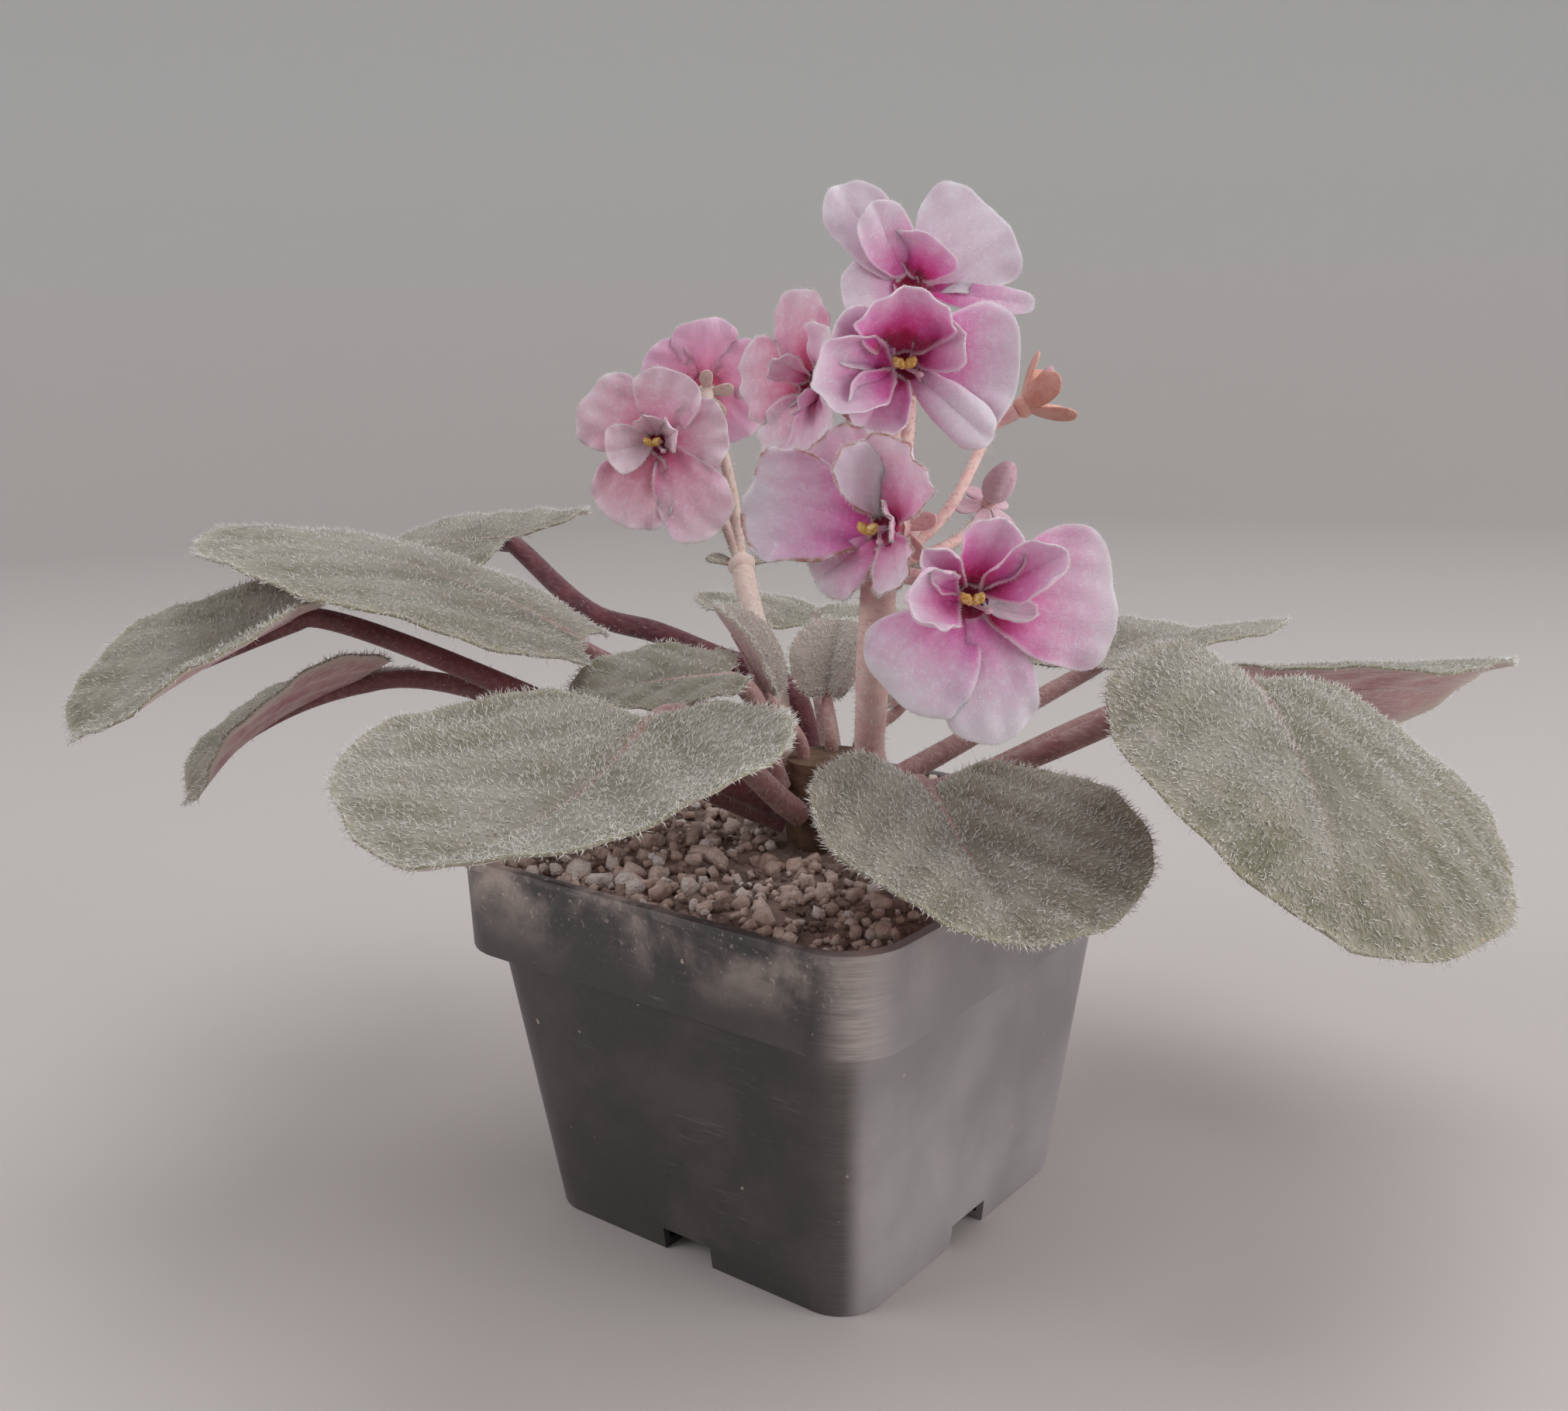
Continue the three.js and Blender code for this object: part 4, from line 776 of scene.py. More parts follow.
def leaf_upper(shader):
    """Grey-green, bronzed more on one half, with soft swept veins between cushions that are lighter partly from
    denser down and partly from painted light, a tan midrib, pale down combed to the rim and a painted rim light.
    """
    where = shader.blade()
    parts = shader.parts(where)
    u, v = parts[0], shader.math("ABSOLUTE", parts[1])
    rim = shader.note("rim")
    patches = shader.noise(where, 3.0, 3.0)
    phase = shader.math("SUBTRACT", shader.math("SUBTRACT", u, shader.times(v, VEINS["sweep"])),
                        shader.times(shader.math("POWER", v, 2.0), VEINS["curve"]))
    wander = shader.swing(patches, 0.06)
    to_vein = shader.math("PINGPONG", shader.times(shader.plus(phase, wander), VEINS["count"]), 0.5)
    cushion = shader.span(to_vein, 0.05, 0.46)
    green = mottled(shader, where, 4.0, rgb(0.112, 0.11, 0.06), rgb(0.165, 0.153, 0.098))
    bronze = mottled(shader, where, 3.5, rgb(0.118, 0.083, 0.06), rgb(0.18, 0.133, 0.105))
    half = shader.span(shader.math("MULTIPLY_ADD", patches, 0.5, parts[1]), 0.0, 0.35, 0.4, 1.0)
    middle = shader.span(rim, 0.4, 0.95, 1.0, 0.5)
    bronzed = shader.times(shader.note("bronze"), shader.times(half, middle))
    base = shader.mix(bronzed, green, bronze)
    silver = shader.span(shader.noise(where, 2.4, 3.0), 0.44, 0.66, 0.0, 0.5)
    silvered = shader.mix(silver, base, rgb(0.33, 0.305, 0.275))
    paled = shader.mix(shader.note("pale"), silvered, rgb(0.46, 0.35, 0.34))
    # Painted light: the cushions between the veins are lightened, partly for their denser down and partly as light on
    # the raised cushions against shade in the vein troughs.
    banded_with_painted_light = shader.mix(shader.times(cushion, 0.35), paled, rgb(0.32, 0.3, 0.24))
    uneven = shader.swing(shader.noise(where, 22.0, 3.0), 0.016)
    spine = shader.span(shader.plus(v, uneven), 0.003, 0.034, 1.0, 0.0)
    along = shader.times(spine, shader.span(u, 0.3, 0.95, 0.5, 0.1))
    salmon = shader.mix(shader.span(u, 0.04, 0.3, 1.0, 0.0), rgb(0.34, 0.26, 0.2), rgb(0.44, 0.2, 0.155))
    ribbed = shader.mix(along, banded_with_painted_light, salmon)
    turn = shader.math("ARCTAN2", parts[1], shader.math("SUBTRACT", u, LEAF_MIDDLE))
    combed = shader.add("ShaderNodeCombineXYZ", {0: shader.times(rim, 0.9),
                                                 1: shader.times(turn, 0.8)}).outputs[0]
    fuzz = down_over(shader, combed, 95.0)
    pale = shader.times(fuzz["Mask"], shader.math("MULTIPLY_ADD", rim, 0.15, 0.3))
    # Painted rim light: the blade is lightened in a thin band along its rim.
    rim_lit_painted = shader.mix(shader.span(rim, 0.93, 1.0, 0.0, 0.4), ribbed, rgb(0.44, 0.4, 0.28))
    fuzzy = shader.mix(pale, rim_lit_painted, rgb(0.5, 0.46, 0.41))
    crumbs = shader.span(shader.noise(where, 58.0, 1.0, 0.3), 0.765, 0.79)
    colour = shader.mix(crumbs, fuzzy, rgb(0.5, 0.36, 0.26))
    cells = shader.add("ShaderNodeTexVoronoi", {"Vector": where, "Scale": 34.0, "Smoothness": 0.7},
                       feature="SMOOTH_F1").outputs["Distance"]
    height = shader.math("SUBTRACT", shader.times(fuzz["Height"], 0.6), shader.times(cells, 0.4))
    return {"Base Color": colour, "Normal": shader.bump(height, 0.0004, 0.6)}


def leaf_under(shader):
    """Wine pink under the veins and the base, greener towards the edge."""
    where = shader.blade()
    fuzz = down_over(shader, where, 70.0)
    base = mottled(shader, where, 4.0, rgb(0.36, 0.12, 0.15), rgb(0.45, 0.25, 0.24))
    edge = shader.span(shader.note("rim"), 0.8, 1.0)
    tinted = shader.mix(edge, base, rgb(0.46, 0.34, 0.29))
    colour = shader.mix(shader.times(fuzz["Mask"], 0.4), tinted, rgb(0.62, 0.54, 0.51))
    return {"Base Color": colour, "Normal": shader.bump(fuzz["Height"], 0.0002, 0.6)}


def leaf_stalk(shader):
    """From mauve to dark wine red, mottled, with pale down."""
    where = shader.place()
    light = mottled(shader, where, 160.0, rgb(0.4, 0.2, 0.19), rgb(0.5, 0.31, 0.28))
    dark = mottled(shader, where, 140.0, rgb(0.075, 0.006, 0.015), rgb(0.14, 0.022, 0.035))
    fuzz = down_over(shader, where, 1800.0)
    wine = shader.note("wine")
    tinted = shader.mix(wine, light, dark)
    share = shader.times(fuzz["Mask"], shader.span(wine, 0.3, 1.0, 0.35, 0.08))
    colour = shader.mix(share, tinted, rgb(0.62, 0.5, 0.46))
    return {"Base Color": colour, "Normal": shader.bump(fuzz["Height"], 0.00015, 0.7)}


def flower_stalk(shader):
    """Salmon brown with reddish flecks and pale down, greyer where the note says so."""
    where = shader.place()
    salmon = mottled(shader, where, 220.0, rgb(0.7, 0.39, 0.38), rgb(0.78, 0.54, 0.5))
    flecks = shader.span(shader.noise(where, 900.0, 3.0), 0.56, 0.7)
    skin = shader.mix(shader.note("grey"), salmon, rgb(0.5, 0.44, 0.37))
    flecked = shader.mix(shader.times(flecks, 0.45), skin, rgb(0.42, 0.14, 0.13))
    fuzz = down_over(shader, where, 1700.0)
    colour = shader.mix(shader.times(fuzz["Mask"], 0.35), flecked, rgb(0.66, 0.56, 0.5))
    return {"Base Color": colour, "Normal": shader.bump(fuzz["Height"], 0.00015, 0.7)}


def bract_skin(shader):
    """Grey-green and downy, warmer towards the foot."""
    where = shader.blade()
    foot = shader.span(shader.parts(where)[0], 0.0, 0.45, 0.7, 0.0)
    green = mottled(shader, where, 3.0, rgb(0.18, 0.165, 0.11), rgb(0.27, 0.235, 0.185))
    fuzz = down_over(shader, shader.place(), 1600.0)
    colour = shader.mix(shader.times(fuzz["Mask"], 0.3), shader.mix(foot, green, rgb(0.42, 0.26, 0.21)),
                        rgb(0.52, 0.48, 0.43))
    return {"Base Color": colour, "Normal": shader.bump(fuzz["Height"], 0.0002, 0.7)}


def petal_skin(shader):
    """Crimson in the throat, pink further out and nearly white lilac at the rim, with a satin sparkle of painted
    glints all over.
    """
    where, spot = shader.blade(), shader.place()
    parts = shader.parts(where)
    clouds = shader.noise(spot, 260.0, 3.0)
    # The tone note shifts the ramp: partly the petal's own paleness and partly painted light, deeper on petals in
    # shade and paler on some shaded ones.
    along = shader.plus(shader.plus(parts[0], shader.note("tone")), shader.swing(clouds, 0.4))
    fresh = shader.ramp(along, [(0.0, (0.3, 0.005, 0.06)), (0.1, (0.52, 0.015, 0.18)), (0.22, (0.64, 0.085, 0.34)),
                                (0.38, (0.7, 0.23, 0.48)), (0.6, (0.71, 0.4, 0.58)), (1.0, (0.7, 0.6, 0.68))])
    old = shader.ramp(along, [(0.0, (0.3, 0.02, 0.07)), (0.18, (0.55, 0.15, 0.24)), (0.45, (0.69, 0.36, 0.44)),
                              (1.0, (0.75, 0.54, 0.61))])
    skin = shader.mix(shader.note("fade"), fresh, old)
    veins = shader.noise(shader.stretch(where, (1.6, 10.0, 1.0)), 2.6, 3.0, 0.6, 0.6)
    vein = shader.times(shader.span(veins, 0.5, 0.7), shader.span(parts[0], 0.2, 0.9, 0.28, 0.04))
    veined = shader.mix(vein, skin, rgb(0.54, 0.08, 0.28))
    edge = shader.plus(shader.note("rim"), shader.swing(clouds, 0.12))
    edged = shader.mix(shader.span(edge, 0.9, 1.0, 0.0, 0.5), veined, rgb(0.82, 0.72, 0.8))
    tears = shader.span(shader.noise(spot, 190.0, 3.0), 0.4, 0.56)
    torn = shader.times(shader.span(edge, 0.91, 1.0), tears)
    aged = shader.mix(shader.times(torn, shader.note("aged")), edged, rgb(0.33, 0.15, 0.085))
    # Painted glints: fine and coarser near-white speckles stand in for the satin sparkle of light on the petal.
    glint_speckles = shader.noise(spot, 4300.0, 2.0, 0.7)
    frost_and_glints = shader.math("MAXIMUM", shader.span(glint_speckles, 0.54, 0.7, 0.0, 0.5),
                          shader.span(shader.noise(spot, 1100.0, 4.0, 0.7), 0.48, 0.68, 0.0, 0.4))
    colour = shader.mix(shader.times(frost_and_glints, shader.span(along, 0.1, 0.8, 0.25, 1.0)), aged,
                        rgb(0.81, 0.76, 0.81))
    height = shader.plus(shader.times(glint_speckles, 0.5), shader.times(veins, 0.3))
    return {"Base Color": colour, "Normal": shader.bump(height, 0.0002, 0.6)}


def petal_outside(shader):
    """The back of a petal: paler and duller, with salmon veins from the stalk and a sparkle of painted glints."""
    where, spot = shader.blade(), shader.place()
    parts = shader.parts(where)
    skin = shader.ramp(parts[0], [(0.0, (0.58, 0.12, 0.24)), (0.35, (0.76, 0.33, 0.5)), (1.0, (0.8, 0.56, 0.7))])
    veins = shader.noise(shader.stretch(where, (1.4, 10.0, 1.0)), 2.6, 3.0, 0.6, 0.6)
    veined = shader.mix(shader.span(veins, 0.5, 0.7, 0.0, 0.3), skin, rgb(0.54, 0.2, 0.26))
    # Painted glints: near-white speckles for the sparkle of light on the petal's back.
    glint_speckles = shader.noise(spot, 3900.0, 2.0, 0.7)
    colour = shader.mix(shader.span(glint_speckles, 0.54, 0.7, 0.0, 0.4), veined, rgb(0.8, 0.73, 0.77))
    return {"Base Color": colour, "Normal": shader.bump(shader.plus(glint_speckles, veins), 0.0001, 0.5)}


def anther_skin(shader):
    where = shader.place()
    pollen = shader.noise(where, 2400.0, 3.0)
    patches = shader.span(shader.noise(where, 420.0, 2.0), 0.4, 0.6)
    warm = shader.mix(patches, rgb(0.68, 0.42, 0.12), rgb(0.74, 0.52, 0.22))
    colour = shader.mix(shader.span(pollen, 0.38, 0.62), rgb(0.5, 0.24, 0.04), warm)
    return {"Base Color": colour, "Normal": shader.bump(pollen, 0.0001, 0.7)}


def bud_skin(shader):
    where = shader.place()
    fuzz = down_over(shader, where, 1500.0)
    skin = mottled(shader, where, 260.0, rgb(0.58, 0.3, 0.38), rgb(0.64, 0.46, 0.54))
    colour = shader.mix(shader.times(fuzz["Mask"], 0.3), skin, rgb(0.8, 0.66, 0.68))
    return {"Base Color": colour, "Normal": shader.bump(fuzz["Height"], 0.00015, 0.6)}


def withered(shader):
    where = shader.place()
    skin = mottled(shader, where, 300.0, rgb(0.64, 0.3, 0.225), rgb(0.76, 0.44, 0.37))
    wrinkles = shader.noise(where, 1400.0, 4.0)
    return {"Base Color": skin, "Normal": shader.bump(wrinkles, 0.0003, 0.8)}


def hair_skin(shader):
    where = shader.place()
    tone = shader.noise(where, 300.0, 2.0)
    return {"Base Color": shader.mix(tone, rgb(0.68, 0.65, 0.6), rgb(0.86, 0.83, 0.79))}


def crown_skin(shader):
    where = shader.place()
    skin = mottled(shader, where, 240.0, rgb(0.1, 0.055, 0.035), rgb(0.2, 0.12, 0.075))
    cork = shader.noise(where, 1100.0, 5.0, 0.65)
    return {"Base Color": skin, "Normal": shader.bump(cork, 0.0006, 0.9)}


def soil_skin(shader):
    where = shader.place()
    # Painted light: the soil's colours are far lighter than dark potting mix, to make up for the shade the leaves
    # cast on it.
    mix = mottled(shader, where, 260.0, rgb(0.27, 0.19, 0.16), rgb(0.6, 0.45, 0.385))
    lumps = shader.noise(where, 900.0, 6.0, 0.7)
    return {"Base Color": mix, "Normal": shader.bump(lumps, 0.0012, 1.0)}


def bark_skin(shader):
    where = shader.place()
    # Painted light: the bark's colours are far lighter than its own, to make up for the shade the leaves cast on the
    # soil.
    skin = mottled(shader, where, 110.0, rgb(0.6, 0.44, 0.36), rgb(0.9, 0.76, 0.67))
    fibres = shader.noise(shader.stretch(where, (1.0, 0.25, 1.0)), 2200.0, 4.0, 0.7)
    return {"Base Color": shader.mix(shader.span(fibres, 0.4, 0.7, 0.0, 0.35), skin, rgb(0.25, 0.155, 0.12)),
            "Normal": shader.bump(fibres, 0.0004, 0.9)}


def perlite_skin(shader):
    where = shader.place()
    skin = mottled(shader, where, 100.0, rgb(0.92, 0.87, 0.84), rgb(0.76, 0.65, 0.58))
    pores = shader.add("ShaderNodeTexVoronoi", {"Vector": where, "Scale": 2600.0}).outputs["Distance"]
    return {"Base Color": skin, "Normal": shader.bump(pores, 0.0003, 0.8)}


def pot_skin(shader):
    """Black plastic: brown dust under the rim, a grey haze on the sides to the light that is partly dust and partly
    painted reflection, a front corner lightened by rubbing and by a painted highlight, fine scratches that follow the
    mould, and stray specks of soil."""
    where = shader.place()
    marks = use(shader, WEAR, {"Vector": where, "Cloud Scale": 55.0})
    x, y, z = shader.parts(where)
    across = shader.plus(x, y)
    dull_side = shader.span(across, -0.006, 0.002, 1.0, 0.3)
    high = shader.times(shader.span(z, 0.045, 0.057, 0.07, 1.0), dull_side)
    dust = shader.times(marks["Dust"], high)
    dusty = shader.mix(shader.times(dust, 0.9), rgb(0.028, 0.0265, 0.0265), rgb(0.68, 0.55, 0.5))
    clouds = shader.span(shader.noise(where, 32.0, 4.0), 0.3, 0.7, 0.6, 1.0)
    # Painted reflection: the grey haze on the sides to the light is partly dust and partly reflected light.
    from_behind = shader.span(shader.math("SUBTRACT", x, y), -0.03, -0.002, 0.3, 0.8)
    to_light = shader.times(shader.span(across, -0.002, 0.003), from_behind)
    dust_film_and_reflection = shader.times(to_light, clouds)
    with_film_and_reflection = shader.mix(dust_film_and_reflection, dusty, rgb(0.44, 0.41, 0.425))
    # Painted highlight: the front corner is lightened, partly as rubbed and brushed plastic and partly as the gloss
    # caught there.
    corner = shader.span(shader.math("ABSOLUTE", across), 0.0, 0.009, 1.0, 0.0)
    brushed = shader.span(shader.noise(shader.stretch(where, (0.05, 0.05, 1.0)), 3000.0, 3.0), 0.35, 0.65, 0.6, 1.0)
    rubbed_and_highlight = shader.times(shader.times(corner, brushed), shader.span(z, 0.038, 0.046, 0.15, 0.95))
    with_rubbed_highlight = shader.mix(rubbed_and_highlight, with_film_and_reflection, rgb(0.47, 0.4, 0.38))
    specks = shader.span(shader.noise(where, 620.0, 1.0, 0.3), 0.79, 0.82)
    specked = shader.mix(specks, with_rubbed_highlight, rgb(0.45, 0.36, 0.3))
    colour = shader.mix(shader.times(marks["Scratches"], 0.25), specked, rgb(0.38, 0.34, 0.32))
    rough = shader.plus(shader.math("MULTIPLY_ADD", dust, 0.25, shader.times(dust_film_and_reflection, 0.12)),
                        shader.math("MULTIPLY_ADD", marks["Scratches"], 0.1, 0.36))
    grain = shader.noise(where, 1500.0, 3.0)
    return {"Base Color": colour, "Roughness": rough, "Normal": shader.bump(grain, 0.00008, 0.5)}


THIN_FLESH = dict(subsurface_weight=0.4, subsurface_scale=0.002, subsurface_radius=(1.0, 0.45, 0.65))
MATERIALS = {
    "leaf_upper": material("leaf_upper", leaf_upper, roughness=0.9, sheen_weight=0.35, sheen_roughness=0.5,
                           specular_ior_level=0.2),
    "leaf_under": material("leaf_under", leaf_under, roughness=0.85, sheen_weight=0.4, specular_ior_level=0.2),
    "leaf_stalk": material("leaf_stalk", leaf_stalk, roughness=0.6, sheen_weight=0.3, specular_ior_level=0.3),
    "flower_stalk": material("flower_stalk", flower_stalk, roughness=0.65, sheen_weight=0.35,
                             specular_ior_level=0.3),
    "bract": material("bract", bract_skin, roughness=0.85, sheen_weight=0.35, specular_ior_level=0.2),
    "petal": material("petal", petal_skin, roughness=0.6, sheen_weight=0.25, specular_ior_level=0.25,
                      **THIN_FLESH),
    "petal_back": material("petal_back", petal_outside, roughness=0.7, sheen_weight=0.25, specular_ior_level=0.2,
                           **THIN_FLESH),
    "anther": material("anther", anther_skin, roughness=0.5),
    "bud": material("bud", bud_skin, roughness=0.65, sheen_weight=0.3),
    "withered": material("withered", withered, roughness=0.8, sheen_weight=0.2),
    "hair": material("hair", hair_skin, roughness=0.45, sheen_weight=0.3),
    "crown": material("crown", crown_skin, roughness=0.9),
    "soil": material("soil", soil_skin, roughness=0.95),
    "bark": material("bark", bark_skin, roughness=0.85),
    "perlite": material("perlite", perlite_skin, roughness=0.9),
    "pot": material("pot", pot_skin, specular_ior_level=0.8),
}


def finish(piece, skin=None):
    """Gives a piece its material and its place on the plant."""
    if skin:
        piece.data.materials.append(MATERIALS[skin])
    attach(piece, "root")
    return piece


# Hairs

HAIR, CURL = hair_pattern(), curl_pattern()
CHIP, CRUMB = chip_pattern(), crumb_pattern()
random = np.random.default_rng(11)


def hairs(name, points, directions, length, pattern=HAIR, radius=0.04):
    """Hairs of about that length on the points, each leaning a little its own way."""
    count = len(points)
    lean = unit(directions) + HAIRS["lean"] * random.normal(size=(count, 3))
    lengths = length * random.uniform(*HAIRS["lengths"], count)
    widths = radius * random.uniform(*HAIRS["widths"], count)
    piece = scattered(name, pattern, points, lean, lengths, widths, random.uniform(0, FULL_TURN, count))
    return finish(piece, "hair")


def along_rod(path, radii, count, start):
    """Random points on a stem's skin and the way out of it there."""
    path = np.array(path)
    steps = np.linalg.norm(np.diff(path, axis=0), axis=1)
    far = np.concatenate([[0], np.cumsum(steps)])
    at = random.uniform(start, 1, count) * far[-1]
    centre = np.stack([np.interp(at, far, path[:, i]) for i in range(3)], axis=1)
    ahead = np.stack([np.interp(at + 0.1, far, path[:, i]) for i in range(3)], axis=1)
    behind = np.stack([np.interp(at - 0.1, far, path[:, i]) for i in range(3)], axis=1)
    out = unit(np.cross(unit(ahead - behind + 1e-9), unit(random.normal(size=(count, 3)))))
    radius = np.interp(at / far[-1], np.linspace(0, 1, len(radii)), radii)
    return centre + out * (radius * 0.97)[:, None], out


# Leaves

def side_foot(root, radius):
    azimuth, height, rise = root
    out = CROWN["radius"] + GAP + radius * math.sin(math.radians(rise))
    return np.array([*CROWN["at"], height]) + heading(azimuth, 0) * out


def stalk_path(form, foot, out, sizes):
    """The leaf stalk's middle line and radii, on into the raised midrib under the blade."""
    seat = form["start"] - 0.8 * sizes["stalk_at_blade"] * form["normal"]
    span = np.linalg.norm(seat - foot)
    if "via" in form:
        path = catmull([foot, *form["via"], seat], STALK_STEPS)
    else:
        path = bezier([foot, foot + out * form.get("soar", 0.35) * span,
                       seat - form["along"] * form["bow"] * span, seat], STALK_STEPS)
    path = rooted(path)
    radii = list(form.get("stout", 1) * np.linspace(sizes["stalk_at_crown"], sizes["stalk_at_blade"], len(path)))
    for share in np.linspace(MIDRIB["start"], MIDRIB["end"], MIDRIB["steps"]):
        x = share * form["length"]
        radius = np.interp(share, [0, MIDRIB["end"]], [sizes["stalk_at_blade"], sizes["vein_end"]])
        path.append(bend(form, x, 0.0) - (0.75 * radius + 0.15) * normals(form, x, 0.0))
        radii.append(radius)
    return path, radii


def make_leaf(leaf, sizes, index, foot, out):
    form = leaf_form(leaf)

    def surface(ring, turn):
        points, _, x, y = leaf_surface(leaf, form, sizes, index, ring, turn)
        return points, x / leaf["length"], y / leaf["length"]

    blade = round_sheet(leaf["name"] + "_blade", sizes["rings"], sizes["spokes"], surface,
                        sizes["thickness"], ("leaf_upper", "leaf_under"), gather=0.3)
    note(blade.data, "bronze", leaf["bronze"])
    note(blade.data, "pale", sizes["pale"])
    finish(blade)
    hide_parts(leaf["name"])

    path, radii = stalk_path(form, foot, out, sizes)
    stalk = rod(leaf["name"] + "_stalk", path, radii, "leaf_stalk")
    note(stalk.data, "wine", leaf["wine"])
    finish(stalk)
    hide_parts(leaf["name"])

    middle = bend(form, LEAF_MIDDLE * leaf["length"], 0.0)

    def strewn(count, low=0.0):
        """Random places on the blade: their points, the ways out of it and to its rim, and half its thickness."""
        ring = np.sqrt(random.uniform(low, 1, count))
        points, n, _, _ = leaf_surface(leaf, form, sizes, index, ring, random.uniform(0, FULL_TURN, count))
        deep = 0.48 * sizes["thickness"] * (1 - (1 - THIN_RIM) * ring ** RIM_POWER)
        return points, n, (0.4 + 1.1 * ring[:, None] ** 2) * unit(points - middle), deep[:, None]

    around = leaf["length"] + leaf["left"][0] + leaf["right"][0]
    area = 0.8 * leaf["length"] * (leaf["left"][0] + leaf["right"][0])
    curled, curled_n, curled_out, deep = strewn(int(leaf.get("curls", sizes["curls"]) * area))
    edge, edge_n, edge_out, edge_deep = strewn(int(sizes["rim_hairs"] * 1.5 * around), HAIRS["rim_ring"])
    seat = random.uniform(-0.9, 1, (len(edge), 1)) * edge_deep
    lengths = sizes["hair_length"] * np.repeat([INNER_HAIRS, 1], [len(curled), len(edge)])
    hairs(leaf["name"] + "_hairs", np.concatenate([curled + deep * curled_n, edge + seat * edge_n]),
          np.concatenate([curled_n + curled_out, edge_out + edge_n * random.uniform(-0.5, 1.2, seat.shape)]),
          lengths, CURL, 0.07)
    fine, fine_n, fine_out, deep = strewn(int(sizes["hairs"] * area))
    side = np.where(random.uniform(0, 1, deep.shape) < HAIRS["under"], -1, 1)
    stem_count = int((8 - 4 * leaf["wine"]) * np.linalg.norm(path[0] - path[STALK_STEPS]))
    stem_spots, stem_ways = along_rod(path, radii, stem_count, 0.02)
    hairs(leaf["name"] + "_down", np.concatenate([fine + side * deep * fine_n, stem_spots]),
          np.concatenate([side * fine_n + fine_out, stem_ways]), 0.8 * sizes["hair_length"])


# Blooms

def sheet_of_petal(name, form, sizes, skins, index, cup=0.0, crumple=1.0):
    """An egg-shaped sheet with a ruffled and cupped rim and shallow folds along it, and its surface."""
    size = min(1.0, form["left"][0] / 7)

    def surface(ring, turn):
        a, b = np.cos(turn), np.sin(turn)
        middle = PETAL["middle"] * form["length"]
        reach = np.where(a >= 0, form["length"] - middle, middle)
        notches = 0.03 * np.sin(3 * turn + 2.1 * index) + 0.018 * np.sin(7 * turn + 1.3 * index)
        ragged = 1 + ring ** 3 * notches
        x = middle + ring * reach * a * ragged
        y = ring * form["left"][0] * b * (1 + PETAL["shoulder"] * a) * ragged
        waves = ring ** 3 * np.sin(PETAL["ruffles"] * turn + 2 * index)
        frill = 0.6 * ring ** 5 * np.sin(9 * turn + 5 * index)
        folds = 0.8 * ring * np.sin(1.7 * y + 3 * index) * np.sin(0.5 * x + index)
        lift = sizes["ruffle"] * size * (waves + crumple * (frill + folds)) + cup * ring ** 6
        points = bend(form, x, y) + normals(form, x, y) * lift[..., None]
        return points, x / form["length"], y / form["left"][0]

    return round_sheet(name, sizes["rings"], sizes["spokes"], surface, sizes["thickness"], skins), surface


def throat_cup(bloom, axes, centre):
    """The short tube that the petals grow from: a ball whose front is pushed in to a cup."""
    tube, p = plain_ball("tube", "petal")
    reach = p[:, 0] ** 2 + p[:, 1] ** 2
    depth = np.where(p[:, 2] > 0, 0.7 * reach - 0.35, p[:, 2] + 0.35 * (1 + p[:, 2]))
    turned = np.stack([axes["right"], axes["up"], axes["out"]])
    move_vertices(tube.data, THROAT * np.column_stack([p[:, 0], p[:, 1], depth]) @ turned + centre)
    for key in ("rim", "tone", "fade"):
        note(tube.data, key, 0.0)
    layer = tube.data.uv_layers[0]
    layer.name = "blade"
    layer.data.foreach_set("uv", np.zeros(2 * len(tube.data.loops), np.float32))
    return tube


def make_bloom(bloom):
    axes = bloom_axes(bloom)
    centre = np.array(bloom["throat"], float)
    sheets, rim_hairs = [], []
    for i, (*petal, tone, fade, cup) in enumerate(bloom["petals"]):
        form = petal_form(petal, centre, axes, PETAL["neck"])
        sheet, surface = sheet_of_petal(f"petal_{i}", form, PETAL, ("petal", "petal_back"), i, cup, bloom["crumple"])
        note(sheet.data, "tone", tone)
        note(sheet.data, "fade", fade)
        sheets.append(sheet)
        turn = random.uniform(0, FULL_TURN, int(PETAL_HAIRS["count"] * (1 + bloom["aged"])))
        rim = surface(np.ones(len(turn)), turn)[0]
        rim_hairs.append((rim, unit(rim - bend(form, 0.5 * petal[2], 0.0))))
    whole = joined(bloom["name"] + "_petals", [*sheets, throat_cup(bloom, axes, centre)])
    note(whole.data, "aged", bloom["aged"])
    finish(whole)
    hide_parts(bloom["name"])
    spots, ways = (np.concatenate(kept) for kept in zip(*rim_hairs))
    hairs(bloom["name"] + "_rim_hairs", spots, ways,
          PETAL_HAIRS["length"] + PETAL_HAIRS["aged_length"] * bloom["aged"])
    if bloom["anthers"]:
        make_anthers(bloom, axes, centre)


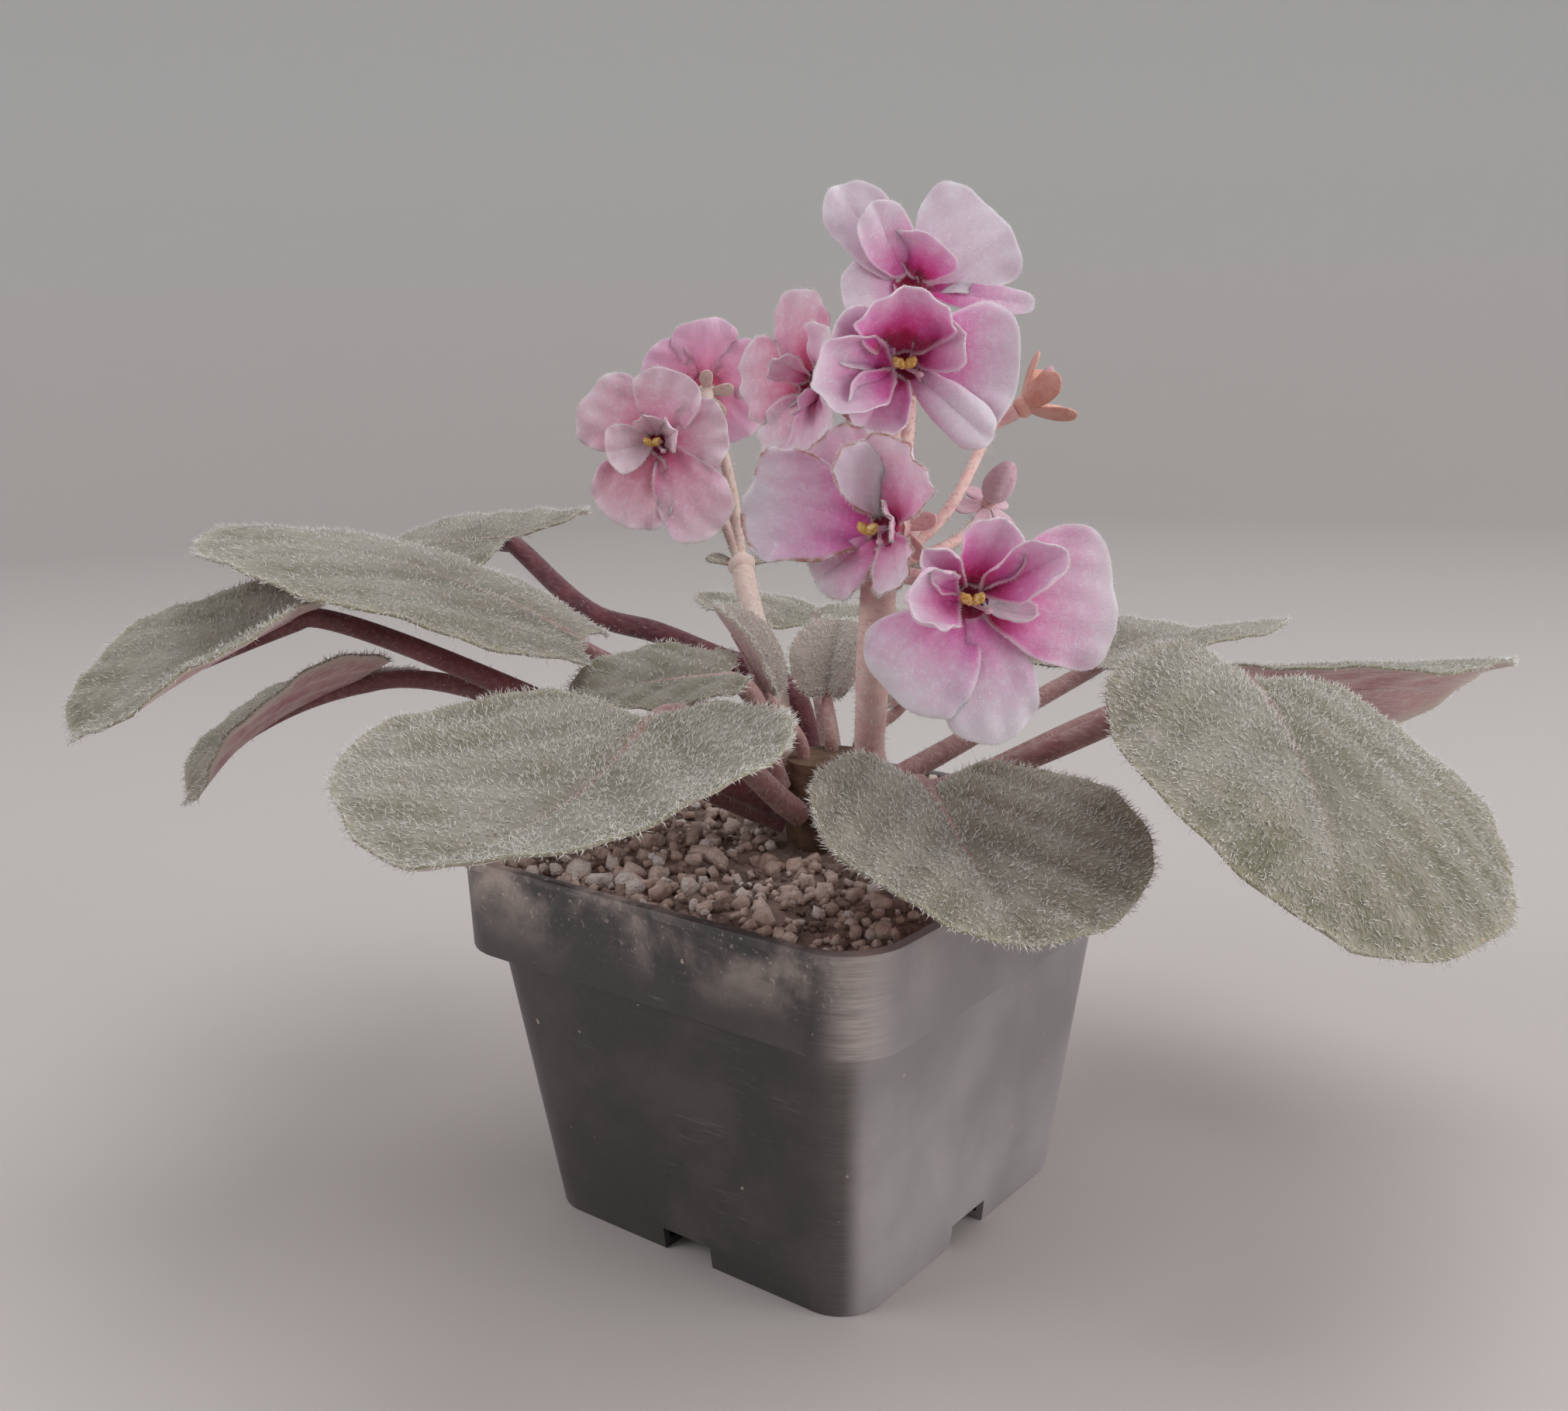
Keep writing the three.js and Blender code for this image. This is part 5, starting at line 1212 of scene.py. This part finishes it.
def make_anthers(bloom, axes, centre):
    """Two yellow sacs, each with its seam, on their filaments, with the style bent away beside them."""
    out, right, up = axes["out"], axes["right"], axes["up"]
    front = centre + out * (THROAT + GAP + ANTHER["forward"])
    parts = []
    for side in (-1, 1):
        sac, p = plain_ball("sac", "anther", bumps=0.06, seed=side)
        seam = 1 - ANTHER["seam_depth"] * np.exp(-(p[:, :1] / ANTHER["seam_width"]) ** 2)
        shaped = p * seam * ANTHER["size"] @ np.stack([right + ANTHER["lean"] * side * up, up, out])
        move_vertices(sac.data, shaped + front + side * ANTHER["apart"] * right)
        parts.append(sac)
        parts.append(rod("filament", [centre + 0.5 * side * right, centre + out * 1.6 + 0.9 * side * right,
                                      front + side * 0.75 * right], (0.3, 0.25, 0.3), "bud", 8))
    tip = centre + out * 3.4 + right * 1.9 - up * 1.5
    parts.append(rod("style", catmull([centre, centre + out * 1.4 + right * 0.3 - up * 0.5, tip], 8),
                     (0.42, 0.3, 0.26), "bud", 8))
    parts.append(ball("stigma", tip, 0.5, "bud", (1, 1, 0.8), 2))
    anthers = joined(bloom["name"].replace("bloom", "anthers") + "_sacs", parts)
    finish(anthers)
    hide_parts(bloom["name"].replace("bloom", "anthers"))


# Stalks

def sepal_sheets(centre, axes, spread, length, width, skin):
    sheets = []
    for i in range(SEPAL["count"]):
        turn = 90 + i * 360 / SEPAL["count"]
        form = petal_form((turn, spread, length, width, *SEPAL["bend"]), centre, axes, SEPAL["neck"])
        sheets.append(sheet_of_petal(f"sepal_{i}", form, SEPAL, (skin,), i)[0])
    return sheets


def branch_end(name):
    if name == SPENT["name"]:
        return np.array(SPENT["at"]), bloom_axes(SPENT), SPENT["pod"] + GAP
    if name == BUD["name"]:
        return np.array(BUD["at"]), bloom_axes(BUD), BUD["length"] + GAP
    bloom = next(one for one in BLOOMS if one["name"] == name)
    return np.array(bloom["throat"]), bloom_axes(bloom), THROAT + GAP


def stem_hairs(path, radii, density, start):
    """Places for hairs on a stem, so many to a millimetre from its foot to its end."""
    return along_rod(path, radii, int(density * np.linalg.norm(path[-1] - path[0])), start)


def make_stalk(plan):
    foot = side_foot(plan["root"], plan["radius"][0])
    above = foot + 2 * heading(plan["root"][0], plan["root"][2])
    path = rooted(catmull([foot, above, *plan["run"]], STEM_STEPS["stalk"]))
    fork = np.array(plan["run"][-1], float)
    pieces = [rod("main", path, plan["radius"], "flower_stalk", 16),
              ball("knot", fork, NODE["swell"] * plan["radius"][1], "flower_stalk", (1, 1, 0.95), 3, 0.08, 1)]
    grown = [stem_hairs(path, plan["radius"], STEM_HAIRS["stalk"], 0.05)]
    count = NODE["bract_hairs"]
    axes = bloom_axes(NODE)
    for i, turn in enumerate(NODE["bract_turns"]):
        form = petal_form((turn, *NODE["bract"]), fork, axes, plan["radius"][1] - 0.6)
        bract_sheet, surface = sheet_of_petal("bract", form, SEPAL, ("bract",), i)
        pieces.append(bract_sheet)
        inward = surface(random.uniform(0.3, 1, count), random.uniform(0, FULL_TURN, count))[0]
        grown.append((inward, unit(inward - fork) + 0.8 * form["normal"] * random.choice((-1, 1), (count, 1))))
    for name, via, radius in plan["branches"]:
        at, axes, back = branch_end(name)
        end = at - axes["out"] * back
        branch = catmull([fork, *via, end - axes["out"] * 3, end + axes["out"] * 0.6], STEM_STEPS["branch"])
        radii = [radius, radius, radius, radius * 1.5]
        pieces.append(rod("branch", branch, radii, "flower_stalk", 10))
        grown.append(stem_hairs(branch, radii, STEM_HAIRS["branch"], 0.1))
        if name != SPENT["name"]:
            skin, swell = ("bud", 1.35) if name == BUD["name"] else ("flower_stalk", 1)
            pieces += sepal_sheets(end - 0.7 * axes["out"], axes, SEPAL["spread"], SEPAL["length"],
                                   swell * SEPAL["width"], skin)
    whole = joined(plan["name"] + "_skin", pieces)
    note(whole.data, "grey", plan["grey"])
    finish(whole)
    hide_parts(plan["name"])
    spots, ways = (np.concatenate(kept) for kept in zip(*grown))
    hairs(plan["name"] + "_hairs", spots, ways, 1.0)


def make_spent():
    axes = bloom_axes(SPENT)
    at = np.array(SPENT["at"], float)
    sheets = sepal_sheets(at, axes, SPENT["spread"], SPENT["length"], SPENT["width"], "withered")
    form = petal_form(SPENT["remnant"], at, axes, 0.5)
    remnant = sheet_of_petal("remnant", form, SEPAL, ("bud",), 7, 0.3, 4.0)[0]
    pod = ball("pod", at, SPENT["pod"], "withered", bumps=0.08)
    whole = joined("spent_calyx_skin", [*sheets, remnant, pod])
    finish(whole)
    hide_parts("spent_calyx")


def make_bud():
    out = heading(BUD["heading"], BUD["rise"])
    bud, p = plain_ball("bud_skin", "bud", subdivisions=4)
    waist = 1 - 0.18 * p[:, 2:]
    ribs = 1 + 0.05 * np.cos(5 * np.arctan2(p[:, 1:2], p[:, :1])) * (1 - np.abs(p[:, 2:]))
    shaped = np.hstack([p[:, :2] * BUD["radius"] * waist * ribs, p[:, 2:] * BUD["length"]])
    turned = Vector((0, 0, 1)).rotation_difference(Vector(out)).to_matrix()
    move_vertices(bud.data, shaped @ np.array(turned).T + np.array(BUD["at"]))
    finish(bud)
    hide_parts("bud")


# Pot, soil and crown

def make_pot():
    """Drawn up from its foot ring by ring to the rim and back down inside, then the drain slots are cut."""
    band_top = POT["rim_width"] - 2 * POT["lip"]
    band_foot = band_top - POT["band_taper"]
    body = POT["rim_width"] - 2 * POT["step_inset"]
    step = POT["height"] - POT["band_height"]
    wall = 2 * POT["wall"]
    rings = [(body, step), (band_foot, step + POT["step_rise"]), (band_top, POT["height"] - POT["lip_height"]),
             (POT["rim_width"], POT["height"] - POT["lip_height"]), (POT["rim_width"], POT["height"]),
             (band_top - wall, POT["height"]), (band_foot - wall, step + 1.4 * POT["step_rise"]),
             (body - wall, step + 0.4 * POT["step_rise"]), (POT["base_width"] - wall, POT["floor"])]
    bpy.ops.mesh.primitive_plane_add(size=POT["base_width"] * MM)
    pot = new_piece("pot_shell")
    start_edit()
    corner = POT["rim_corner"] * POT["base_width"] / POT["rim_width"]
    bpy.ops.mesh.bevel(offset=corner * MM, segments=10, affect="VERTICES")
    draw_up(rings, POT["base_width"], 0)
    end_edit()
    apply_modifier(pot, "BEVEL", width=0.22 * MM, segments=2, limit_method="ANGLE", angle_limit=math.radians(28))
    for side in range(4):
        bpy.ops.mesh.primitive_cube_add(size=1)
        cutter = bpy.context.object
        cutter.scale = (10 * MM, POT["drain_width"] * MM, 2 * POT["drain_height"] * MM)
        angle = side * math.pi / 2
        cutter.rotation_euler = (0, 0, angle)
        cutter.location = Vector((math.cos(angle), math.sin(angle), 0)) * POT["base_width"] / 2 * MM
        activate(pot)
        apply_modifier(pot, "BOOLEAN", object=cutter, operation="DIFFERENCE", solver="EXACT")
        bpy.data.objects.remove(cutter)
    bpy.ops.object.shade_smooth_by_angle(angle=math.radians(40))
    pot.select_set(False)
    finish(pot, "pot")
    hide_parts("pot")


def soil_height(x, y):
    swell = np.sin(0.13 * x + 0.6) * np.cos(0.17 * y - 0.4) + 0.4 * np.sin(0.41 * x - 0.3 * y)
    far_x, far_y = x - SOIL["heap_at"][0], y - SOIL["heap_at"][1]
    heaped = SOIL["heap"] * np.exp(-(far_x ** 2 + far_y ** 2) / 450)
    return SOIL["top"] + SOIL["swell"] * swell + heaped


def inside_rim(x, y, reach):
    corner = SOIL["corner"]
    over = np.hypot(np.maximum(np.abs(x) - reach + corner, 0), np.maximum(np.abs(y) - reach + corner, 0))
    return over <= corner


def make_soil():
    """The rough top of the potting mix, a slab in place of the solid's whole block, with loose peat, bark and
    perlite on it."""
    reach = (POT["rim_width"] / 2 - POT["lip"] - POT["wall"]) - SOIL["gap"]
    bpy.ops.mesh.primitive_grid_add(x_subdivisions=SOIL["cells"], y_subdivisions=SOIL["cells"], size=2)
    top = new_piece("soil_top")
    p = coordinates(top.data)
    x, y = p[:, 0] * reach, p[:, 1] * reach
    lumps = 0.45 * np.sin(1.7 * x + 2 * np.sin(0.9 * y)) * np.cos(1.9 * y + 1.4 * np.sin(1.1 * x))
    fine = 0.22 * np.sin(4.3 * x + 1.3 * y) * np.sin(3.7 * y - 2.1 * x)
    squeeze = np.minimum(1, (reach / np.maximum(np.hypot(x, y), 1e-6)) * 1.24)
    move_vertices(top.data, np.stack([x * squeeze, y * squeeze, soil_height(x, y) + lumps + fine], axis=1))
    edit(lambda: bpy.ops.mesh.select_all(action="DESELECT"),
         lambda: bpy.ops.mesh.select_non_manifold(),
         lambda: bpy.ops.mesh.extrude_edges_move(TRANSFORM_OT_translate={"value": (0, 0, -SOIL["skirt"] * MM)}),
         lambda: bpy.ops.mesh.edge_face_add(),
         face_outwards)
    bpy.ops.object.shade_smooth_by_angle(angle=math.radians(60))
    top.select_set(False)
    finish(top, "soil")
    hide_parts("soil")
    for loose in LOOSE:
        count, (low, high) = loose["count"], loose["radii"]
        sizes = low + (high - low) * random.uniform(0, 1, count) ** 1.7
        x, y = random.uniform(-reach, reach, (2, count))
        if loose["skin"] == "perlite":
            x, y, sizes = (np.append(kept, [spot[i] for spot in WHITE_LUMPS]) for i, kept in enumerate((x, y, sizes)))
        clear = np.hypot(x - CROWN["at"][0], y - CROWN["at"][1]) > SOIL["crown_room"] + sizes
        ok = inside_rim(x, y, reach - 1.2 * sizes) & clear
        x, y, sizes = x[ok], y[ok], sizes[ok]
        spots = np.stack([x, y, soil_height(x, y) + loose["lift"] + 0.25 * sizes], axis=1)
        ways = unit(random.normal(size=(len(x), 3)))
        pattern = CHIP if loose["skin"] == "bark" else CRUMB
        crumbs = scattered(loose["name"], pattern, spots, ways, sizes * random.uniform(0.5, 1.0, len(x)),
                           sizes * random.uniform(0.7, 1.1, len(x)), random.uniform(0, FULL_TURN, len(x)))
        finish(crumbs, loose["skin"])
        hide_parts("soil")


def make_crown():
    """The short stem, drawn up ring by ring, with the scars of old leaves round it."""
    neck = (CROWN["bottom"] + SOIL["top"]) / 2
    rings = [(CROWN["root_radius"] - 0.4, CROWN["bottom"]), (CROWN["root_radius"] + 0.3, neck),
             (CROWN["radius"] - 0.4, SOIL["top"] + 1),
             (CROWN["radius"] - 0.1, 0.5 * (SOIL["top"] + CROWN["shoulder"])),
             (CROWN["radius"], CROWN["shoulder"]), (CROWN["top_radius"], CROWN["top"])]
    bpy.ops.mesh.primitive_circle_add(vertices=48, radius=rings[0][0] * MM, fill_type="NGON")
    crown = new_piece("crown_stem")
    start_edit()
    bpy.ops.transform.translate(value=(CROWN["at"][0] * MM, CROWN["at"][1] * MM, rings[0][1] * MM))
    steps = 5
    between = [(r0 + (r1 - r0) * i / steps, z0 + (z1 - z0) * i / steps)
               for (r0, z0), (r1, z1) in zip(rings, rings[1:]) for i in range(1, steps + 1)]
    draw_up(between, *rings[0], CROWN["at"])
    bpy.ops.mesh.inset(thickness=0.6 * MM)
    bpy.ops.mesh.inset(thickness=2.5 * MM)
    end_edit()
    p = coordinates(crown.data) / MM
    dx, dy = p[:, 0] - CROWN["at"][0], p[:, 1] - CROWN["at"][1]
    around = np.arctan2(dy, dx)
    scars = 0.25 * np.maximum(np.cos(5 * around + 1.1 * p[:, 2]) * np.cos(1.9 * p[:, 2]), -0.4)
    out = scars * np.minimum(np.hypot(dx, dy) / CROWN["radius"], 1)
    move_vertices(crown.data, p - np.stack([np.cos(around) * out, np.sin(around) * out, 0 * out], axis=1))
    bpy.ops.object.shade_smooth_by_angle(angle=math.radians(60))
    crown.select_set(False)
    finish(crown, "crown")
    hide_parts("crown")


# The stage

def make_stage():
    """A pale floor that curves up into a wall all round, open at the top."""
    bpy.ops.mesh.primitive_circle_add(vertices=128, radius=STAGE["radius"], fill_type="NGON")
    floor = new_piece("stage_floor")
    start_edit()
    bpy.ops.mesh.delete(type="ONLY_FACE")
    bpy.ops.mesh.select_all(action="SELECT")
    radius, height = STAGE["radius"], 0.0
    for i in range(1, STAGE["steps"] + 1):
        a = i / STAGE["steps"] * math.pi / 2
        next_radius = STAGE["radius"] + STAGE["curve"] * math.sin(a)
        next_height = STAGE["curve"] * (1 - math.cos(a))
        bpy.ops.mesh.extrude_edges_move(TRANSFORM_OT_translate={"value": (0, 0, next_height - height)})
        bpy.ops.transform.resize(value=(next_radius / radius, next_radius / radius, 1))
        radius, height = next_radius, next_height
    bpy.ops.mesh.extrude_edges_move(TRANSFORM_OT_translate={"value": (0, 0, STAGE["wall"])})
    bpy.ops.object.mode_set(mode="OBJECT")
    bpy.ops.object.shade_smooth()
    bpy.ops.object.select_all(action="DESELECT")
    bpy.ops.mesh.primitive_circle_add(vertices=128, radius=STAGE["radius"], fill_type="NGON")
    disc = bpy.context.object
    activate(floor, disc)
    bpy.ops.object.join()
    edit(lambda: bpy.ops.mesh.remove_doubles(threshold=1e-5),
         lambda: bpy.ops.mesh.normals_make_consistent(inside=True))
    floor.select_set(False)
    floor.data.materials.append(material("stage", stage_skin, roughness=0.7))


def stage_skin(shader):
    where = shader.place()
    z = shader.parts(where)[2]
    tone = shader.mix(shader.span(z, 0.0, 0.35), rgb(0.57, 0.53, 0.513), rgb(0.58, 0.577, 0.572))
    return {"Base Color": tone}


def make_lights():
    for one in LIGHTS:
        lamp = bpy.data.lights.new(one["name"], "AREA")
        lamp.shape = "DISK"
        lamp.size = one["size"]
        lamp.energy = one["power"]
        lamp.color = one["colour"]
        light = bpy.data.objects.new(one["name"], lamp)
        bpy.context.collection.objects.link(light)
        light.location = one["at"]
        light.rotation_euler = (Vector(LIGHTS_AIM) - Vector(one["at"])).to_track_quat("-Z", "Y").to_euler()
    world = bpy.data.worlds.new("studio")
    world.use_nodes = True
    background = world.node_tree.nodes["Background"]
    background.inputs["Color"].default_value = SKY["colour"]
    background.inputs["Strength"].default_value = SKY["strength"]
    bpy.context.scene.world = world
    bpy.context.scene.view_settings.view_transform = "Standard"


def make_camera():
    lens = bpy.data.cameras.new("camera")
    lens.lens = CAMERA["lens"]
    lens.sensor_width = CAMERA["sensor"]
    lens.sensor_fit = "HORIZONTAL"
    lens.clip_start = 0.01
    camera = bpy.data.objects.new("camera", lens)
    bpy.context.collection.objects.link(camera)
    back = -Vector(CAMERA["forward"]).normalized()
    right = Vector(CAMERA["up"]).cross(back).normalized()
    turn = Matrix((right, back.cross(right), back)).transposed()
    camera.matrix_world = Matrix.Translation(Vector(CAMERA["at"]) * MM) @ turn.to_4x4()
    bpy.context.scene.camera = camera


make_camera()
make_lights()
make_stage()
make_pot()
make_soil()
make_crown()
for number, leaf in enumerate(LEAVES):
    make_leaf(leaf, LEAF, number, side_foot(leaf["root"], LEAF["stalk_at_crown"]),
              heading(leaf["root"][0], leaf["root"][2]))
for number, leaf in enumerate(YOUNG_LEAVES):
    make_leaf({**leaf, **YOUNG_HABIT}, YOUNG, number, np.array([*leaf["foot"], CROWN["top"] + 2 * GAP]), UP)
for plan in STALKS:
    make_stalk(plan)
for bloom in BLOOMS:
    make_bloom(bloom)
make_spent()
make_bud()
for pattern in (HAIR, CURL, CHIP, CRUMB):
    bpy.data.objects.remove(pattern)
